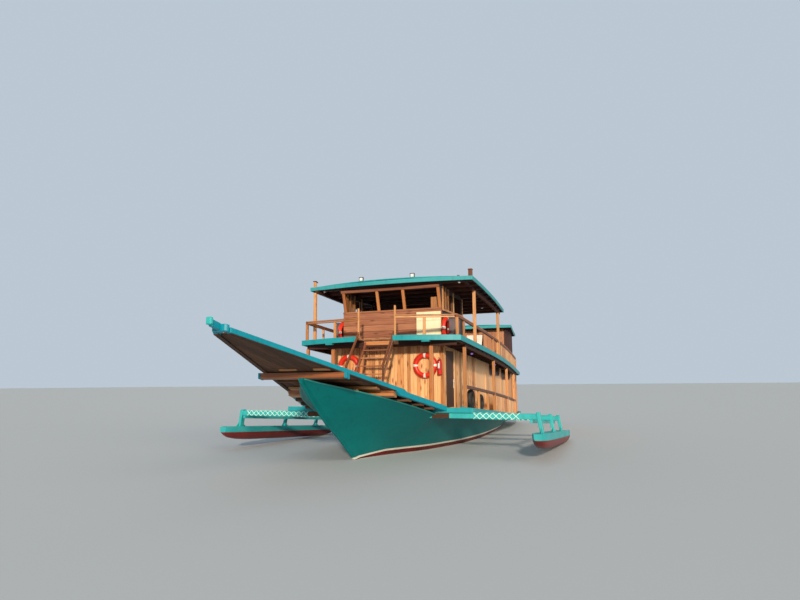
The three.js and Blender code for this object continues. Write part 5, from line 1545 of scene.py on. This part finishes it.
def roof_skin(name, roof, half, stands_for):
    """The cambered top layer of a roof."""
    columns = np.linspace(-1, 1, 25)
    top = roof_top(roof)
    rows = []
    for x in stations(roof["aft"], roof["front"]) + [None]:
        row = []
        for v in columns:
            px = x if x is not None else roof["front"] + roof["bulge"] * (1 - v * v)
            width = half(min(px, roof["front"]))
            row.append((px, width * v, top(px) + ROOF_CAMBER * (1 - v * v)))
        rows.append(row)
    made = Joinery()
    made.loft([[*row, *((x, y, z - 0.03) for x, y, z in reversed(row))] for row in rows])
    return fit(made.build(name), TRIM_PAINT, stands_for=stands_for, round_below=30)


def build_roof(label, roof, half, plates):
    """A roof's skin, ceiling boards, beams, plates and edge board."""
    node = f"{label}_roof"
    top = roof_top(roof)
    roof_skin(f"{node}_skin", roof, half, node)
    # The ceiling boards' near-black tone is partly dark stain and partly painted shade under the roof.
    under = deck_boards(half, roof["front"], roof["aft"], moved(top, -0.03), 0.02, 0.18, roof["bulge"])
    fit(under.build(f"{node}_ceiling_boards"), CEILING, bevel=0.003)
    beams = cross_row(f"{node}_beams", roof["aft"] + 0.1, roof["front"] - 0.1, moved(half, -0.03),
                      moved(top, -0.09), 0.07, 0.078, CEILING)
    fit(beams, CEILING, bevel=0.006)
    fit(plates.build(f"{node}_plates"), CEILING, bevel=0.006)
    corner = half(roof["front"])
    nose = swell(roof["front"], roof["bulge"], corner)
    loop = edge_loop(top, 0.008, 0.112)
    loops = side_loops(loop, 1, half, roof["front"], roof["aft"])
    for y in np.linspace(corner, -corner, 25)[1:-1]:
        loops.append(loop((nose(y), y), (nose(y) + EDGE_THICK, y), nose(y)))
    loops += side_loops(loop, -1, half, roof["front"], roof["aft"])[:0:-1]
    edge = Joinery().loft(loops, ring=True)
    fit(edge.build(f"{node}_edge_board"), ROOF_EDGE, stands_for=f"{node}_fascia", bevel=0.005)


def aft_inside(x):
    """Half the aft cabin's width."""
    return min(1.5, half_aft_roof(x) - 0.12)


def build_roofs():
    """The main roof with two post ends above its front corners, and the aft roof."""
    plates = Joinery()
    under, over = beside(roof_top(MAIN_ROOF), -ROOF_DROP, -0.051)
    for _, s in SIDES:
        plates.run(-2.6, 2.7, *beside(upper_line, -0.045, 0.045, s), under, over)
        plates.run(WHEEL_AFT, 2.6, s * (WHEEL_HALF - 0.06), s * (WHEEL_HALF + 0.005), under, over)
    for x in (WHEEL_AFT + 0.022, lean(SCREEN_TOP) - 0.055):
        plates.run(x - 0.06, x + 0.06, -WHEEL_HALF, WHEEL_HALF, under, over)
    build_roof("main", MAIN_ROOF, half_roof, plates)
    base = roof_top(MAIN_ROOF)(2.61)
    for side, wood, x0, x1, y0, y1 in (("port", STAINED, 2.555, 2.665, 2.575, 2.685),
                                       ("starboard", POST_WOOD, 2.57, 2.64, -2.685, -2.60)):
        horn = Joinery().block(x0, x1, y0, y1, base - 0.01, 5.325)
        fit(horn.build(f"roof_horn_{side}"), wood, bevel=0.006)
    caps = Joinery().block(2.545, 2.675, 2.565, 2.695, 5.325, 5.35)
    caps.slab([(2.545, 5.29), (2.675, 5.335), (2.675, 5.35), (2.545, 5.305)], -2.695, -2.56)
    fit(caps.build("roof_horn_caps"), STAINED, bevel=0.004)
    plates = Joinery()
    under, over = beside(roof_top(AFT_ROOF), -ROOF_DROP, -0.051)
    for _, s in SIDES:
        plates.run(-11.0, -7.4, *beside(aft_inside, -0.06, 0.005, s), under, over)
    build_roof("aft", AFT_ROOF, half_aft_roof, plates)


build_roofs()


# Aft cabin

AFT_PANES = ((-0.3, 0.06), (0.18, 0.48))


def build_aft_cabin():
    """Four walls, the front one with two panes and the back one with a doorway."""
    front, aft = -7.4, -11.0
    seat = lambda x: roof_top(AFT_ROOF)(x) - ROOF_DROP - GAP
    floor = upper_top(front)
    x = front - WALL / 2
    low, high, edge = deck_stand(x), seat(x), aft_inside(x) - WALL - 0.001
    made = cross_wall("aft_cabin_front_boards", x, edge, low, high, 0.2, REDWOOD, 4)
    holes, frames, panes = Joinery(), Joinery(), Joinery()
    for y0, y1 in AFT_PANES:
        holes.block(front - 0.2, front + 0.2, y0, y1, floor + 0.7, floor + 1.65)
        panes.block(x - 0.01, x + 0.002, y0 - 0.01, y1 + 0.01, floor + 0.69, floor + 1.66)
        for a, b, c, d in ((y0 - 0.04, y1 + 0.04, 0.66, 0.70), (y0 - 0.04, y1 + 0.04, 1.65, 1.69),
                           (y0 - 0.04, y0, 0.7, 1.65), (y1, y1 + 0.04, 0.7, 1.65)):
            frames.block(front - 0.002, front + 0.014, a, b, floor + c, floor + d)
    cut_out(made, holes)
    fit(made, REDWOOD, stands_for="aft_cabin_front_wall", bevel=0.004)
    fit(panes.build("aft_cabin_panes"), CURTAIN)
    fit(frames.build("aft_cabin_pane_frames"), TEAK, bevel=0.003)
    # The side walls take the near-black ceiling finish: their darkness is painted shade.
    for side, s in SIDES:
        guide = [(t, s * (aft_inside(t) - WALL / 2), (deck_stand(t) + seat(t)) / 2)
                 for t in np.linspace(aft + 0.09, front - 0.09, 12)]
        wall = grow(f"aft_cabin_{side}_boards", BOARD_ROW, guide, {
            "Count": 18, "Board size": (0.197, WALL - 0.006, seat(-9.2) - deck_stand(-9.2) - 0.004),
            "Unevenness": (0.0, 0.003, 0.0), "Seed": 3, "Finish": CEILING})
        fit(wall, CEILING, stands_for=f"aft_cabin_{side}_wall", bevel=0.004)
    x = aft + WALL / 2
    low, high = deck_stand(x), seat(x)
    edge = aft_inside(x) - WALL - 0.001
    back = cross_wall("aft_cabin_back_boards", x, edge, low, high, 0.2, REDWOOD, 6)
    cut_doorway(back, x, 0.4, low + 0.06, low + 1.6)
    fit(back, REDWOOD, stands_for="aft_cabin_aft_wall", bevel=0.004)


build_aft_cabin()


# Life rings, extinguisher, fenders and lamps

RINGS = [  # name, centre, axis
    ("front_port", (2.8183, 1.235, 2.51), "x"), ("front_starboard", (2.8183, -1.28, 2.52), "x"),
    ("side_port", (2.2, 1.7283, 3.64), "y"), ("side_starboard", (2.3, -1.7283, 3.62), "y")]
RING_RADIUS, RING_TUBE = 0.298, 0.074


def build_rings():
    """Four life rings, each with four bands and a grab line."""
    for name, centre, axis in RINGS:
        shell = Joinery().hoop(centre, axis, RING_RADIUS, RING_TUBE)
        fit(shell.build(f"ring_{name}_shell"), RING_SHELL, stands_for=f"life_ring_{name}",
            round_below=60)
        bands = Joinery()
        for start in (0, 90, 180, 270):
            bands.hoop(centre, axis, RING_RADIUS, RING_TUBE + 0.003, start - 6, 12, 8)
        fit(bands.build(f"ring_{name}_bands"), TAPE, round_below=60)
        path = []
        across = {"x": (1, 2), "y": (2, 0)}[axis]
        for i in range(96):
            angle = 2 * math.pi * i / 96
            radius = RING_RADIUS + RING_TUBE + 0.003 + 0.012 * abs(math.sin(2 * angle)) ** 0.7
            point = list(centre)
            point[across[0]] += radius * math.cos(angle)
            point[across[1]] += radius * math.sin(angle)
            path.append(point)
        rope = grow(f"ring_{name}_grab_line", TUBE, path, {"Radius": 0.005, "Sides": 8, "Finish": ROPE},
                    closed=True)
        fit(rope, ROPE, round_below=60)


build_rings()


def build_extinguisher():
    """A bottle with a blank label, its valve, bracket and short hose."""
    x, y, z = foot = (CABIN_FRONT_X + 0.08, 1.69, 2.225)
    profile = [(0.001, 0.0), (0.06, 0.0), (0.071, 0.012), (0.073, 0.03), (0.073, 0.38), (0.066, 0.415),
               (0.045, 0.445), (0.024, 0.458), (0.022, 0.475), (0.001, 0.475)]
    bottle = Joinery().lathe(profile, foot, "z", 32)
    fit(bottle.build("extinguisher_bottle"), EXTINGUISHER_RED, stands_for="extinguisher",
        round_below=35)
    label = Joinery().loft([[(x + r * math.cos(a), y + r * math.sin(a), z + h)
                             for r, h in ((0.0731, 0.19), (0.0741, 0.19), (0.0741, 0.34), (0.0731, 0.34))]
                            for a in np.linspace(-0.4, 0.4, 7)])
    fit(label.build("extinguisher_label"), WHITE_PLASTIC, round_below=35)
    valve = Joinery().block(x - 0.014, x + 0.014, y - 0.014, y + 0.014, z + 0.474, z + 0.515)
    valve.bar((x, y, z + 0.495), (x + 0.075, y - 0.01, z + 0.508), 0.018, 0.008)
    valve.block(CABIN_FRONT_X + 0.0003, x - 0.065, y - 0.03, y + 0.03, z + 0.175, z + 0.205)
    fit(valve.build("extinguisher_valve_and_bracket"), STEEL, bevel=0.002)
    path = [(x + 0.01, y + 0.012, z + 0.485), (x + 0.05, y + 0.035, z + 0.46), (x + 0.076, y + 0.04, z + 0.40),
            (x + 0.078, y + 0.04, z + 0.28), (x + 0.076, y + 0.038, z + 0.15)]
    hose = grow("extinguisher_hose", TUBE, path, {"Radius": 0.009, "Sides": 10, "Finish": RUBBER})
    fit(hose, RUBBER, round_below=60)


build_extinguisher()


def build_fenders():
    """Old tyres that stand behind the lower rail as fenders."""
    for side, s in SIDES:
        for i, (x, radius, tube) in enumerate(((1.62, 0.235, 0.07), (0.42, 0.2, 0.06))):
            centre = (x, s * (lower_line(x) - 0.15), main_top(x) + radius + tube + 0.004)
            tyre = Joinery().hoop(centre, "y", radius, tube, steps=40, sides=16, flat=1.05)
            fit(tyre.build(f"fender_tyre_{side}_{i}"), RUBBER, round_below=60)


build_fenders()


def build_floodlights():
    """Two small floodlights on the roof's front edge and a low vent beside them."""
    top = roof_top(MAIN_ROOF)
    for i, y in enumerate((-0.83, 0.885)):
        x = MAIN_ROOF["front"] + MAIN_ROOF["bulge"] * (1 - (y / 2.7) ** 2) - 0.06
        z = top(x) + ROOF_CAMBER * (1 - (y / 2.7) ** 2)
        case = Joinery().block(x - 0.04, x + 0.03, y - 0.06, y + 0.06, z + 0.002, z + 0.12)
        for edge in (-0.067, 0.067):
            case.block(x - 0.02, x + 0.034, y + edge - 0.006, y + edge + 0.006, z + 0.001, z + 0.13)
        case.block(x - 0.02, x + 0.05, y - 0.073, y + 0.073, z + 0.121, z + 0.133)
        fit(case.build(f"floodlight_{i}_case"), LAMP_CASE, bevel=0.004)
        glass = Joinery().block(x + 0.0305, x + 0.034, y - 0.05, y + 0.05, z + 0.02, z + 0.11)
        fit(glass.build(f"floodlight_{i}_glass"), LAMP_GLASS, bevel=0.001)
    z = top(2.83) + 0.016
    vent = Joinery().lathe([(0.03, -0.02), (0.03, 0.02), (0.042, 0.02), (0.036, 0.036), (0.001, 0.04)],
                           (2.72, 2.29, z), "z", 20)
    fit(vent.build("roof_vent"), LAMP_CASE, round_below=35)


LAMP_RIM = [(0.042, -0.024), (0.055, -0.018), (0.055, 0.032), (0.001, 0.032)]
LAMP_BOWL = [(0.001, -0.05), (0.03, -0.045), (0.041, -0.026), (0.041, -0.018), (0.001, -0.018)]


def build_lamps():
    """Small lamps under the decks: clear ones forward, violet ones over the side decks."""
    places = [(3.2, 0.5, upper_ceiling(3.2), LAMP_GLASS), (3.2, -0.5, upper_ceiling(3.2), LAMP_GLASS)]
    for _, s in SIDES:
        places += [(0.5, s * 2.05, upper_ceiling(0.5) + 0.02, VIOLET),
                   (-3.2, s * 1.95, upper_ceiling(-3.2) + 0.02, VIOLET),
                   (2.62, s * 2.28, roof_seat(2.62) + 0.02, LAMP_GLASS),
                   (-1.45, s * 1.95, roof_seat(-1.45) + 0.02, LAMP_GLASS)]
    for i, (x, y, z, finish) in enumerate(places):
        rim = Joinery().lathe(LAMP_RIM, (x, y, z))
        fit(rim.build(f"lamp_{i}_rim"), STEEL, round_below=40)
        glass = Joinery().lathe(LAMP_BOWL, (x, y, z))
        fit(glass.build(f"lamp_{i}_glass"), finish, round_below=40)


build_floodlights()
build_lamps()
